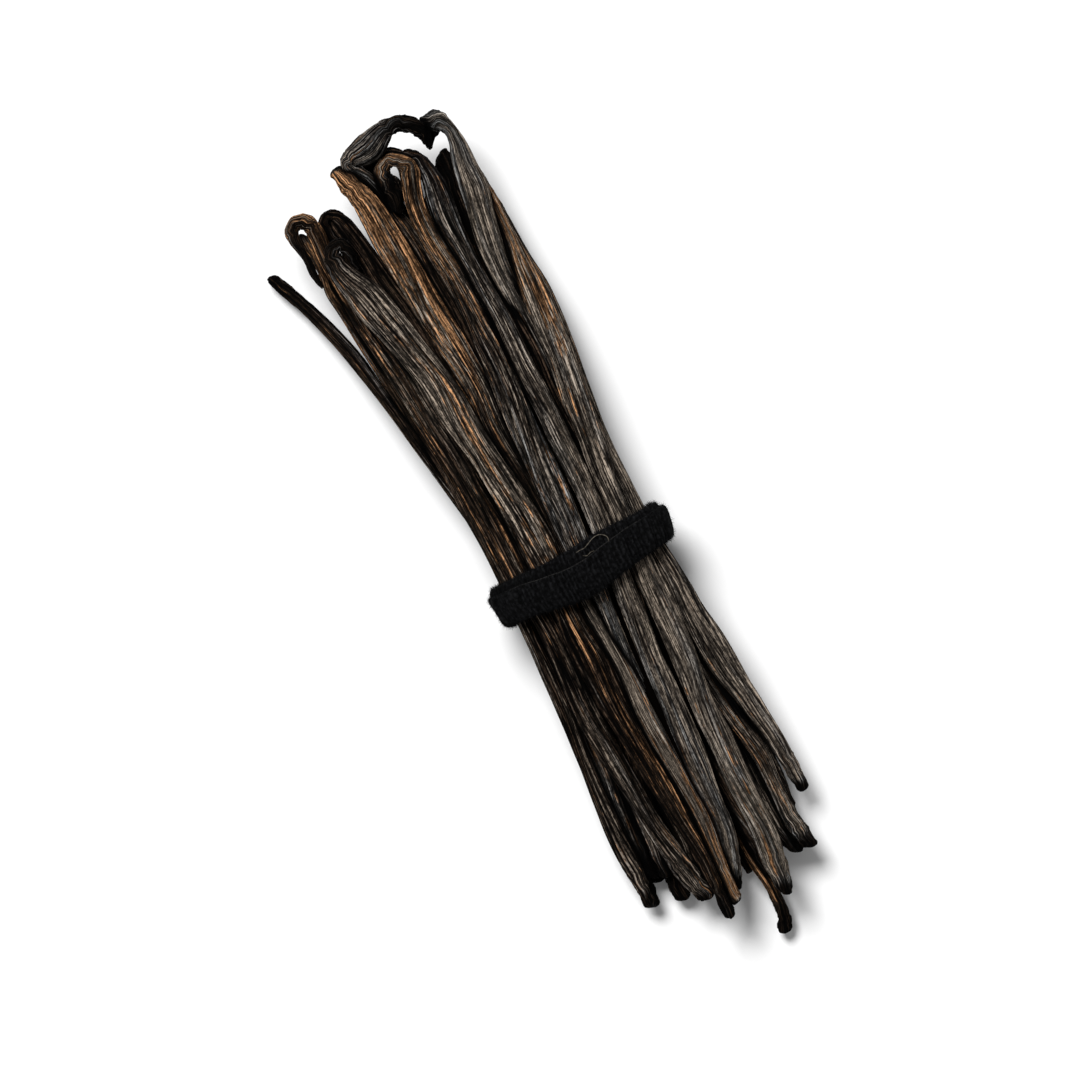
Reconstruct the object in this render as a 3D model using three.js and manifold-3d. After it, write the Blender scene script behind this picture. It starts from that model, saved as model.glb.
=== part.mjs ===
// A bundle of dried vanilla pods, held together by a soft black band that goes round it twice.
// Millimetres, +Z up. +Y runs along the bundle from the blossom ends to the curled stem ends, and
// the bundle lies on its side on a table at z = 0.

import * as THREE from 'three';
import { mergeVertices } from 'three/addons/utils/BufferGeometryUtils.js';
import Module from 'manifold-3d';

// ---- Driving dimensions ------------------------------------------------------------------------

// The waist: the bundle's cross-section where the band holds it, an upright oval.
const WAIST_X = -0.65;
const WAIST_Z = 13.2;
const WAIST_HALF_WIDTH = 16.4;
const WAIST_HALF_HEIGHT = 10.4;

// One pod: a flattened tube, thinner towards both ends.
const POD_FLATNESS = 0.76;        // height over width
const SHOWN_SIDES = 8;
const HIDDEN_SIDES = 6;
const CAP_RINGS = [[0.26, 0.72], [0.42, 0]];   // a round end: distance and width, over end width

// The band: two turns of a flat soft ribbon, the second partly over the first.
const BAND_WIDTH = 7;
const BAND_THICKNESS = 1.9;
const BAND_GAP = 0.35;            // between the band and the pods
const BAND_SAMPLES = 40;
const BAND_SIDES = 8;
const BAND_ROUNDNESS = 0.6;       // exponent of the ribbon's section: 1 is an ellipse, 0 a box
const BAND_TURNS = [
  { y: 1.6, lift: 0 },
  { y: -2.2, lift: 0.9 },
];

// The core fills the inside of the bundle, where no single pod shows.
const CORE = { front: 58, back: -50, z: 11, halfWidth: 12.5, halfHeight: 5.5, sides: 16, rings: 10 };
const PLUG = { halfLength: 3.4, inset: 0.8 };  // joins every pod to the core, under the band

const TABLE = 400;                // side of the block that trims the underside flat
const UP = new THREE.Vector3(0, 0, 1);

// ---- The pods that show from above ----------------------------------------------------------------
//
// Each pod is a row of stations from its stem end to its blossom end: [x, y, z, width].

const SHOWN_PODS = [
  // Thin pod that stands away on the left.
  [
    [-29.8, 79.6, 2.6, 1.9], [-28.7, 77, 3, 2.3], [-25.9, 70, 4, 2.6], [-22.8, 60, 6.3, 2.9],
    [-21, 50, 9.6, 2.6], [-19.3, 40, 11.9, 2.4], [-17.8, 30, 11.5, 2.3], [-16, 20, 10, 2.8],
    [-13.8, 0, 11.5, 3.2], [-14.6, -20, 9.6, 3], [-15.5, -40, 6.9, 3.8], [-15.7, -52, 5.1, 4.1],
    [-15.6, -59, 3.9, 3.8], [-15.6, -62.2, 3.4, 3.2],
  ],
  // Left edge.
  [
    [-20.4, 84.1, 9.5, 1.7], [-20.4, 82.4, 9.7, 2.1], [-20.2, 79, 9.8, 2], [-20.2, 75, 10, 2.3],
    [-20.5, 71.5, 10, 2.7], [-20.2, 68, 10.1, 2.7], [-19.8, 62, 10.7, 2.4], [-18.9, 52, 11.6, 2.1],
    [-17.6, 40, 11.7, 2.3], [-16.4, 30, 13.4, 2.4], [-16.2, 20, 14.2, 2.4], [-15.9, 10, 14.8, 2.4],
    [-15.9, 0, 15.2, 2.8], [-16.3, -8, 14.5, 2.4], [-16.5, -15, 13.7, 2.9], [-17, -25, 12.2, 3.1],
    [-17.9, -35, 10.6, 2.7], [-18.5, -45, 8.8, 3.5], [-19, -54, 7.1, 4.1], [-18.9, -60, 5.9, 4.1],
    [-18.9, -64, 5.1, 3.4], [-18.9, -66.3, 4.6, 3.2],
  ],
  // Hooked stem.
  [
    [-21.6, 73.6, 13.5, 0.8], [-22, 76.4, 13.2, 1.5], [-21.9, 79.2, 12.6, 1.5],
    [-22.1, 82, 12.1, 1.7], [-22.3, 84.3, 11.7, 2.3], [-22, 86.2, 11.4, 2.7],
    [-20.9, 87.3, 11.4, 2.8], [-19.3, 87.2, 11.5, 2.9], [-18.1, 85.7, 11.7, 3.1],
    [-17.7, 83, 11.9, 3.3], [-18, 79, 11.7, 3.3], [-17.8, 72, 10.8, 3.8], [-17, 62, 11.8, 4.6],
    [-15.9, 52, 13.9, 4.8], [-14.9, 40, 15.5, 4.7], [-13.5, 30, 16.4, 4.6], [-12.8, 20, 17.2, 4.7],
    [-12.5, 10, 17.9, 4.8], [-12.3, 0, 18.4, 4.8], [-12.1, -8, 17.8, 4.6], [-12.6, -18, 16.6, 4.5],
    [-12.9, -28, 15.2, 5.2], [-12.5, -36, 13.9, 4.8], [-12.1, -45, 12.4, 3.8],
    [-11.6, -53, 11, 3.6], [-10.4, -60, 9.7, 4.2], [-9.5, -65, 8.7, 4.6], [-8.8, -68.6, 8, 4.4],
  ],
  // Broad pale pod whose stem folds back on itself.
  [
    [-13.4, 74.2, 13.9, 1.4], [-13.8, 76.2, 14.2, 2.6], [-13.9, 78.1, 14.4, 2.7],
    [-14.6, 79.4, 14.5, 2.8], [-15.8, 79.5, 14.5, 2.9], [-16.7, 78.5, 14.5, 3.4],
    [-16.9, 76.6, 14.5, 3.9], [-16.5, 74.4, 14.5, 4.5], [-15.8, 71.8, 14.5, 5.5],
    [-14.9, 69, 14.6, 6.6], [-13.8, 64, 15.1, 7.2], [-12.2, 58, 15.8, 6.6], [-10.9, 51, 16.4, 6.1],
    [-9.2, 40, 17.5, 6.4], [-8.2, 30, 18.3, 6], [-7.4, 20, 19.1, 6.3], [-6.8, 10, 19.7, 6.8],
    [-7.1, 0, 20.2, 6.2], [-7.2, -8, 19.7, 5.4], [-7.3, -16, 19, 6.2], [-7.5, -25, 18.1, 6.2],
    [-7.3, -34, 17.1, 5], [-6.5, -44, 15.8, 4.8], [-5.8, -52, 14.8, 4.3], [-5.4, -60, 13.7, 3.4],
    [-5.5, -67, 12.6, 2.8], [-5.7, -72, 11.9, 2.5], [-5.8, -74.7, 11.5, 2.8],
  ],
  // Low pod, curled end.
  [
    [-14.9, 79.4, 9.5, 1.8], [-15.4, 81.4, 9.5, 2.7], [-15.6, 83.7, 9.6, 2.8],
    [-14.6, 85.4, 9.8, 2.5], [-13.1, 85.2, 10, 2.8], [-12.7, 83.2, 10, 4], [-12, 80, 10.1, 4.3],
    [-11.2, 76, 10.3, 4.2], [-10.3, 70, 10.9, 4.5], [-8.5, 60, 11.7, 4.6], [-6.6, 40, 13.3, 4.8],
    [-5.4, 20, 14.6, 4.8], [-5, 0, 15.5, 4.8], [-6.6, -20, 13, 4.8], [-9.2, -40, 9.5, 4.8],
    [-11.2, -54, 6.6, 4.4], [-12.3, -63, 4.6, 3.7], [-12.7, -67.4, 3.6, 3.4],
  ],
  // Rust-brown pod.
  [
    [-8.3, 92.4, 13.3, 3.2], [-7.5, 90.2, 13.9, 4.5], [-6.7, 87.3, 14.1, 4.8],
    [-5.9, 83.5, 14.3, 5.5], [-5.4, 77, 14.7, 6.4], [-4.8, 70, 15.1, 6.4], [-4.4, 61, 15.6, 6],
    [-3.8, 52, 16.1, 5.7], [-3.2, 41, 16.7, 5.2], [-3.3, 31, 17.1, 4.6], [-3, 21, 17, 4.2],
    [-2.9, 10, 17, 3.8], [-3.1, 0, 18.2, 4], [-3.4, -8, 19.6, 3.4], [-3.1, -15, 18.9, 3.2],
    [-2.7, -23, 17.5, 3.3], [-2.8, -32, 16.5, 4.2], [-2.7, -41, 15.4, 4.1], [-2.3, -49, 14.7, 3.4],
    [-2.2, -56, 13.9, 3.6], [-2.8, -62, 13, 3.2], [-3.2, -68, 11.9, 2.9], [-3.3, -73, 11, 2.8],
  ],
  // Low pod whose stem arches over to the right and whose blossom end is the long tail.
  [
    [10.4, 90.2, 13.7, 2.2], [10.3, 92.1, 14.1, 3.2], [9.2, 94, 14.7, 3.5], [7.3, 95.6, 15, 3.3],
    [5, 96.2, 15.2, 3.5], [2.4, 95.6, 15.2, 4.8], [-0.3, 94.5, 15.2, 5.9], [-2.5, 94.1, 15, 5.5],
    [-4.3, 94, 14.7, 4.3], [-5.8, 93.5, 14.3, 3], [-6, 92.2, 13.9, 3.1], [-5.2, 90.6, 13.6, 3.3],
    [-4.1, 88.6, 13.4, 3.5], [-3.1, 85.5, 12.5, 3.4], [-2.2, 80, 10.7, 3.5], [-1.1, 73, 11.3, 4.4],
    [-0.6, 60, 12.8, 5], [-0.2, 45, 14.1, 5], [0, 25, 15.1, 4.8], [0.4, 0, 15.5, 4.6],
    [0.9, -20, 13.5, 4.4], [1.7, -40, 10.5, 4.2], [2.4, -54, 8.1, 3.7], [3, -63, 6.5, 3.1],
    [3.4, -69, 5.4, 2.7], [4, -74, 4.4, 2.3], [4, -77.2, 3.8, 2.5], [3.9, -79.6, 3.3, 2.5],
    [3.6, -81.4, 2.9, 2.6], [3, -83, 2.6, 3],
  ],
  // Pod with the folded hook.
  [
    [-1, 80.8, 13.2, 2.4], [-0.5, 82.8, 13.2, 4], [-0.3, 85, 13.2, 4.4], [-0.7, 87.5, 13.5, 3.9],
    [0.1, 89.3, 13.8, 3.3], [1.9, 89.9, 14.3, 2.9], [3.4, 89.1, 14.8, 2.9], [4.1, 87.7, 14.9, 3.8],
    [4, 85.9, 14.9, 4.4], [3.4, 84, 14.8, 4.1], [2.8, 82, 14.7, 4.1], [2.4, 80, 14.8, 4.1],
    [2.1, 76, 15, 4.1], [2.4, 70, 15.6, 3.9], [3.1, 63, 16.3, 4], [3.1, 56, 16.9, 4.5],
    [2.7, 49, 17.6, 5.3], [2.3, 40, 18.4, 5.6], [1.6, 30, 19.2, 5.9], [1.3, 20, 19.9, 5.8],
    [0.6, 10, 20.6, 5.5], [0.3, 0, 21, 4.6], [0.1, -7, 20.5, 3.4], [-0.5, -14, 19.1, 2.8],
    [-0.9, -21, 16.8, 2.6], [-1.2, -30, 13.5, 3], [-1.6, -45, 10.4, 3.4], [-1.6, -58, 8.4, 3.2],
    [-1.4, -66, 7.5, 2.6],
  ],
  // Ridged pod.
  [
    [-3.4, 88.2, 11.1, 2.6], [-2.6, 89.9, 11.1, 3.4], [-1.1, 91.4, 11.2, 3.2],
    [0.6, 91.9, 11.6, 2.6], [2, 91.7, 12, 2.2], [3.4, 90.9, 12.6, 2.3], [4.7, 89.7, 12.7, 2.3],
    [6.2, 88.9, 12.8, 2.7], [7.1, 87.5, 13, 3.1], [7.6, 85.3, 13.2, 3.5], [7.8, 82.8, 13.5, 4.2],
    [7.6, 79.5, 13.9, 4.9], [7.1, 75, 14.4, 4.9], [6.8, 68, 15.1, 3.9], [6.9, 61, 15.8, 3.5],
    [7.2, 53, 16.6, 3.7], [7.1, 42, 17.6, 4.1], [7.2, 31, 18.6, 4.3], [7, 20, 19.4, 4.1],
    [6.6, 10, 20.1, 4], [5.8, 0, 20.5, 4.2], [4.9, -8, 19.9, 4.3], [4.4, -15, 19.2, 4.4],
    [3.6, -23, 18.2, 4.6], [2.9, -31, 17.1, 4.8], [2.3, -40, 15.8, 4.8], [1.7, -48, 14.5, 4.4],
    [1.5, -55, 13.4, 3.8], [0.9, -60.5, 12.4, 3.8], [-0.2, -65, 11.6, 3.3], [-1.2, -68.6, 11, 2.7],
    [-1.8, -71.2, 10.5, 2],
  ],
  // Low pod with a blunt end.
  [
    [11.3, 85.2, 8, 3.9], [11.2, 82.6, 8.3, 3.7], [10.8, 79, 8.7, 3.4], [10.1, 73, 9.3, 3.6],
    [9.5, 65, 10.1, 3.9], [9, 55, 11, 4.2], [9, 42, 12.5, 4.2], [8.9, 28, 13.6, 4.2],
    [8.5, 14, 14.3, 4.2], [8.2, 0, 15, 4.4], [6.4, -20, 12.5, 4.4], [5.2, -40, 8.2, 4.2],
    [4.6, -54, 4.8, 3.6], [3.2, -62, 3.4, 3.2], [1.9, -66.4, 2.8, 3], [2, -69, 2.4, 2.4],
  ],
  // Big hook on the right.
  [
    [10.5, 88.6, 11, 0.8], [10.9, 89.9, 11.8, 2.2], [11.6, 91.3, 12.6, 3.6],
    [12.6, 92.5, 13.4, 4.5], [13.9, 92.5, 13.9, 4.1], [14.9, 91.3, 14.1, 3.3],
    [15.5, 89.5, 14.1, 2.9], [15.5, 87.3, 14, 3.5], [15.1, 85, 13.8, 4.3], [14.7, 81.5, 13.4, 5],
    [14.5, 77.5, 13.4, 5.7], [13.7, 73, 13.3, 5.5], [12.8, 67, 13.3, 5.2], [12.1, 61, 12.7, 4.8],
    [11.8, 55, 11.5, 4.3], [11.8, 49, 10.7, 4.3], [11.8, 40, 10.3, 4.4], [11.2, 20, 11.6, 4.6],
    [10.2, 0, 13.2, 4.6], [10.8, -20, 12.2, 4.4], [12, -34, 10.5, 4], [13.1, -42, 10.7, 3.8],
    [14, -49, 10.1, 3.6], [13.8, -56, 9.7, 3.2], [13.7, -63, 8.8, 3.5], [14, -67, 8.2, 3.9],
    [14.2, -69.4, 8, 3.6],
  ],
  // Broad pale pod on the right.
  [
    [16.9, 79.2, 10.5, 1.3], [16.8, 76.5, 10.9, 1.8], [16.6, 72, 11.4, 2.3], [16.5, 66, 12.2, 2.8],
    [16.1, 60, 13, 4], [15.9, 54, 13.7, 5.3], [15.3, 46, 14.6, 5.6], [14.3, 37, 15.6, 5.4],
    [13.1, 28, 16.5, 5.1], [11.9, 19, 17.3, 4.8], [11.1, 10, 18.1, 4.4], [10.5, 0, 18.6, 4.6],
    [10.1, -8, 18.2, 5], [9.7, -16, 17.6, 5], [9.3, -25, 16.8, 5], [8.8, -33, 16, 5],
    [8.5, -42, 15, 5.1], [7.9, -50, 14.1, 5.3], [7.7, -57, 13.2, 5], [7.6, -64, 12.4, 4.9],
    [7.1, -69, 11.7, 4.7], [6.7, -73, 11.2, 3.7], [6.3, -76, 10.8, 2.7],
  ],
  // Right edge.
  [
    [17, 75, 6.5, 1.6], [17.2, 69, 7.5, 2.2], [17.3, 60, 8.8, 2.6], [17.8, 52, 10, 3],
    [16.9, 41, 11.6, 3.1], [15.7, 30, 13, 2.9], [14.8, 20, 14.1, 2.6], [14.7, 10, 15.1, 2.5],
    [14.5, 0, 15.8, 3], [14.8, -8, 15.2, 3.8], [15.1, -16, 14.3, 4.8], [15.5, -25, 13.1, 5.8],
    [15.9, -33, 11.9, 5.7], [16.9, -40, 10.8, 5], [18, -46, 9.8, 3.8], [18.4, -52, 8.8, 3.3],
    [18.7, -56.5, 8, 2.9], [18.6, -59.4, 7.5, 2.3],
  ],
];

// ---- The pods underneath and inside, by rule -------------------------------------------------------

const UNDERSIDE_PODS = 7;
const UNDERSIDE_FROM = 202;       // degrees round the waist, seen from the blossom end
const UNDERSIDE_TO = 338;
const INNER_PODS = 5;
const INNER_HEIGHT = 10;
const INNER_SPREAD = 9.6;
const INNER_DROOP = 4;
const HIDDEN_WIDTH = 5.4;
const HIDDEN_STEPS = 5;           // from the band to each end
const HIDDEN_SPREAD = 0.24;       // fan of a hidden pod, over its distance from the middle
const FAN_POWER = 1.5;            // how late a pod leaves the straight line that it starts on
const TAPER = 0.25;               // share of each half that narrows towards the end
const END_HEIGHT = 2.3;           // height at which the underside pods' ends lie on the table

let randomState = 3691;

/** A repeatable draw between low and high. */
function random(low, high) {
  randomState = (randomState * 16807) % 2147483647;
  return low + ((high - low) * randomState) / 2147483647;
}

/** Half of a hidden pod from the band to its end. side is 1 or -1. */
function hiddenHalf(lane, height, endHeight, side, reachFrom, reachTo) {
  const reach = random(reachFrom, reachTo);
  const fan = (lane - WAIST_X) * HIDDEN_SPREAD + random(-1.2, 1.2);
  const bow = random(-0.8, 0.8);
  const droop = height - endHeight - random(0, 1);
  const end = random(2.4, 3.4);
  const stations = [];
  for (let i = 0; i <= HIDDEN_STEPS; i += 1) {
    const t = i / HIDDEN_STEPS;
    const x = lane + fan * t ** FAN_POWER + 4 * bow * t * (1 - t);
    const z = height - droop * t ** FAN_POWER;
    const narrowing = THREE.MathUtils.smoothstep(t, 1 - TAPER, 1);
    stations.push([x, side * reach * t, z, THREE.MathUtils.lerp(HIDDEN_WIDTH, end, narrowing)]);
  }
  return stations;
}

function hiddenPod(lane, height, endHeight) {
  const stem = hiddenHalf(lane, height, endHeight, 1, 70, 82);
  const blossom = hiddenHalf(lane, height, endHeight, -1, 59, 70);
  return [...stem.reverse(), ...blossom.slice(1)];
}

function undersidePods() {
  const pods = [];
  const halfWidth = WAIST_HALF_WIDTH - HIDDEN_WIDTH / 2;
  const halfHeight = WAIST_HALF_HEIGHT - (HIDDEN_WIDTH * POD_FLATNESS) / 2;
  for (let i = 0; i < UNDERSIDE_PODS; i += 1) {
    const share = i / (UNDERSIDE_PODS - 1);
    const angle = THREE.MathUtils.degToRad(THREE.MathUtils.lerp(UNDERSIDE_FROM, UNDERSIDE_TO, share));
    const height = WAIST_Z + halfHeight * Math.sin(angle);
    const endHeight = END_HEIGHT + 0.5 * (height - (WAIST_Z - halfHeight));
    pods.push(hiddenPod(WAIST_X + halfWidth * Math.cos(angle), height, endHeight));
  }
  return pods;
}

function innerPods() {
  const pods = [];
  for (let i = 0; i < INNER_PODS; i += 1) {
    const share = (2 * i) / (INNER_PODS - 1) - 1;
    pods.push(hiddenPod(WAIST_X + INNER_SPREAD * share, INNER_HEIGHT, INNER_HEIGHT - INNER_DROOP));
  }
  return pods;
}

// ---- Shapes ----------------------------------------------------------------------------------------

/** The rings of a round end beyond a pod's last station: where each is and how wide. */
function capRings(last, before) {
  const ahead = last.point.clone().sub(before.point).normalize();
  return CAP_RINGS.map(([distance, width]) => ({
    point: last.point.clone().addScaledVector(ahead, distance * last.width),
    width: width * last.width,
  }));
}

/** A unit sphere drawn out along the rings: its poles become the two ends. */
function drawnOut(rings, sides, flatness) {
  const geometry = new THREE.SphereGeometry(1, sides, rings.length - 1);
  const position = geometry.attributes.position;
  const uv = geometry.attributes.uv;
  for (let i = 0; i < position.count; i += 1) {
    const row = Math.round((1 - uv.getY(i)) * (rings.length - 1));
    const angle = 2 * Math.PI * (Math.round(uv.getX(i) * sides) % sides) / sides;
    const ring = rings[row];
    const before = rings[Math.max(row - 1, 0)].point;
    const after = rings[Math.min(row + 1, rings.length - 1)].point;
    const along = after.clone().sub(before).normalize();
    const across = new THREE.Vector3().crossVectors(along, UP).normalize();
    const normal = new THREE.Vector3().crossVectors(across, along);
    const point = ring.point.clone();
    point.addScaledVector(across, (ring.width / 2) * Math.cos(angle));
    point.addScaledVector(normal, (ring.width / 2) * flatness * Math.sin(angle));
    position.setXYZ(i, point.x, point.y, point.z);
  }
  return geometry;
}

function podGeometry(stations, sides) {
  const rings = stations.map(([x, y, z, width]) => ({ point: new THREE.Vector3(x, y, z), width }));
  const stemEnd = capRings(rings[0], rings[1]).reverse();
  const blossomEnd = capRings(rings.at(-1), rings.at(-2));
  return drawnOut([...stemEnd, ...rings, ...blossomEnd], sides, POD_FLATNESS);
}

function coreGeometry() {
  const rings = [];
  for (let i = 0; i <= CORE.rings; i += 1) {
    const angle = (Math.PI * i) / CORE.rings;
    const y = THREE.MathUtils.lerp(CORE.back, CORE.front, (1 + Math.cos(angle)) / 2);
    const width = 2 * CORE.halfWidth * Math.sin(angle) ** 0.5;
    rings.push({ point: new THREE.Vector3(WAIST_X, y, CORE.z), width });
  }
  return drawnOut(rings, CORE.sides, CORE.halfHeight / CORE.halfWidth);
}

function plugGeometry() {
  const geometry = new THREE.SphereGeometry(1, CORE.sides, CORE.rings);
  const halfWidth = WAIST_HALF_WIDTH - PLUG.inset;
  const halfHeight = WAIST_HALF_HEIGHT - PLUG.inset;
  geometry.scale(halfWidth, PLUG.halfLength, halfHeight);
  geometry.translate(WAIST_X, 0, WAIST_Z);
  return geometry;
}

/** One turn of the band: a ring of ribbon that lies on the outermost of points, a gap away. */
function bandTurnGeometry(points, turn) {
  const geometry = new THREE.TorusGeometry(1, 0.5, BAND_SIDES, BAND_SAMPLES);
  const position = geometry.attributes.position;
  const uv = geometry.attributes.uv;
  for (let i = 0; i < position.count; i += 1) {
    const sample = Math.round(uv.getX(i) * BAND_SAMPLES) % BAND_SAMPLES;
    const corner = Math.round(uv.getY(i) * BAND_SIDES) % BAND_SIDES;
    const angle = (2 * Math.PI * sample) / BAND_SAMPLES;
    const normal = new THREE.Vector3(Math.cos(angle), 0, Math.sin(angle));
    const outermost = points.reduce((a, b) => (b.dot(normal) > a.dot(normal) ? b : a));
    const round = (2 * Math.PI * (corner + 0.5)) / BAND_SIDES;
    const across = Math.sign(Math.sin(round)) * Math.abs(Math.sin(round)) ** BAND_ROUNDNESS;
    const outward = Math.sign(Math.cos(round)) * Math.abs(Math.cos(round)) ** BAND_ROUNDNESS;
    const offset = BAND_GAP + turn.lift + (BAND_THICKNESS / 2) * (1 + outward);
    const point = normal.clone().multiplyScalar(offset).add(outermost);
    position.setXYZ(i, point.x, turn.y - (BAND_WIDTH / 2) * across, point.z);
  }
  return geometry;
}

// ---- Joining and cutting -----------------------------------------------------------------------------

const wasm = await Module();
wasm.setup();

function solidOf(geometry) {
  const bare = geometry.clone();
  bare.deleteAttribute('normal');
  bare.deleteAttribute('uv');
  const merged = mergeVertices(bare, 1e-5);
  return new wasm.Manifold(new wasm.Mesh({
    numProp: 3,
    vertProperties: merged.attributes.position.array,
    triVerts: merged.index.array,
  }));
}

/** The largest body of a solid, without loose scraps or sealed hollows. */
function largestBody(solid) {
  return solid.decompose().reduce((a, b) => (b.volume() > a.volume() ? b : a));
}

function geometryOf(solid) {
  const mesh = solid.getMesh();
  const geometry = new THREE.BufferGeometry();
  geometry.setAttribute('position', new THREE.BufferAttribute(mesh.vertProperties, 3));
  geometry.setIndex(new THREE.BufferAttribute(mesh.triVerts, 1));
  geometry.computeVertexNormals();
  return geometry;
}

/** Everything above the table. */
function trimBlock() {
  const block = new THREE.BoxGeometry(TABLE, TABLE, TABLE);
  block.translate(0, 0, TABLE / 2);
  return solidOf(block);
}

function podsSolid() {
  let solid = solidOf(coreGeometry()).add(solidOf(plugGeometry()));
  for (const stations of SHOWN_PODS) {
    solid = solid.add(solidOf(podGeometry(stations, SHOWN_SIDES)));
  }
  for (const stations of [...undersidePods(), ...innerPods()]) {
    solid = solid.add(solidOf(podGeometry(stations, HIDDEN_SIDES)));
  }
  return largestBody(solid.intersect(trimBlock()));
}

/** The points of a solid's surface that a turn of the band could touch, at the turn's middle. */
function pointsUnderBand(solid) {
  const slab = new THREE.BoxGeometry(TABLE, 2 * BAND_WIDTH, TABLE);
  const { vertProperties } = solid.intersect(solidOf(slab)).getMesh();
  const points = [];
  for (let i = 0; i < vertProperties.length; i += 3) {
    points.push(new THREE.Vector3(vertProperties[i], 0, vertProperties[i + 2]));
  }
  return points;
}

function bandSolid(pods) {
  const points = pointsUnderBand(pods);
  const [first, second] = BAND_TURNS.map((turn) => solidOf(bandTurnGeometry(points, turn)));
  return largestBody(first.add(second).intersect(trimBlock()));
}

// ---- The scene graph -----------------------------------------------------------------------------------

const podSkin = new THREE.MeshStandardMaterial({ color: 0x2b211b, roughness: 0.5, metalness: 0 });
const softBlack = new THREE.MeshStandardMaterial({ color: 0x17171a, roughness: 0.95, metalness: 0 });

const podsMesh = podsSolid();
const bandMesh = bandSolid(podsMesh);

const pods = new THREE.Mesh(geometryOf(podsMesh), podSkin);
pods.name = 'pods';

const tie = new THREE.Mesh(geometryOf(bandMesh), softBlack);
tie.name = 'tie';

const bundle = new THREE.Group();
bundle.add(pods, tie);

// The origin is the middle of the bundle's underside.
const middle = new THREE.Box3().setFromObject(bundle).getCenter(new THREE.Vector3());
bundle.position.set(-middle.x, -middle.y, 0);

export default bundle;
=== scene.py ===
"""A bundle of dried vanilla pods with a soft black band round its waist, dressed over its frame."""

import math
from dataclasses import dataclass

import bmesh
import bpy
import numpy as np
from mathutils import Matrix, Vector


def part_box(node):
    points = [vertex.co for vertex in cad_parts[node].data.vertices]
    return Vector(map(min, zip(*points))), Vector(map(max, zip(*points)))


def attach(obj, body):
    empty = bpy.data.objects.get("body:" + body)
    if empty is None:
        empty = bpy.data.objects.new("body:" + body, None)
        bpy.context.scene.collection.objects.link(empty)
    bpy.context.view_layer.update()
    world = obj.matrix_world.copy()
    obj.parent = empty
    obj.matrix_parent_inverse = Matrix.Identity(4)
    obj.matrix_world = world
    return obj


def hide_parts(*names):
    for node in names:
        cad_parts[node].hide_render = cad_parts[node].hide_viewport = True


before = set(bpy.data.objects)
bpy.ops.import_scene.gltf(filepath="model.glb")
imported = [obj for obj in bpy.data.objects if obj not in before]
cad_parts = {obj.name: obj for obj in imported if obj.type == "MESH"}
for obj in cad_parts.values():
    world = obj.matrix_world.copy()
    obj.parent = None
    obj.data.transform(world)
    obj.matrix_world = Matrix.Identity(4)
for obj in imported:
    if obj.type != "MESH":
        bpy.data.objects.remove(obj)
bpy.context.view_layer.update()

bl_info = {
    "name": "Vanilla Pod Bundle",
    "version": (1, 0, 0),
    "blender": (4, 5, 0),
    "location": "View3D > Sidebar > Vanilla Pods",
    "description": "Builds the wrinkled pods, the soft band round them and a plain stage",
    "category": "Add Mesh",
}

MM = 0.001
UP = np.array([0.0, 0.0, 1.0])

# ---- The layout: the same stations and sizes as the part's solids, in millimetres ----

WAIST_X = -0.65          # middle of the bundle at the band
WAIST_Z = 13.2
WAIST_HALF_WIDTH = 16.4
WAIST_HALF_HEIGHT = 10.4
POD_FLATNESS = 0.76      # height over width
HEIGHT_POWER = 1.3       # how late a pod leaves its height at the band, on its way to an end
TABLE_GAP = 0.05         # under a pod that lies on the table, before its height is rounded
CAP_LENGTH = 0.42        # a round end's length, over the width of the end
CAP_ANGLES = (15, 32, 48, 64, 78, 90)    # of the rows that round an end off, in degrees

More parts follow.
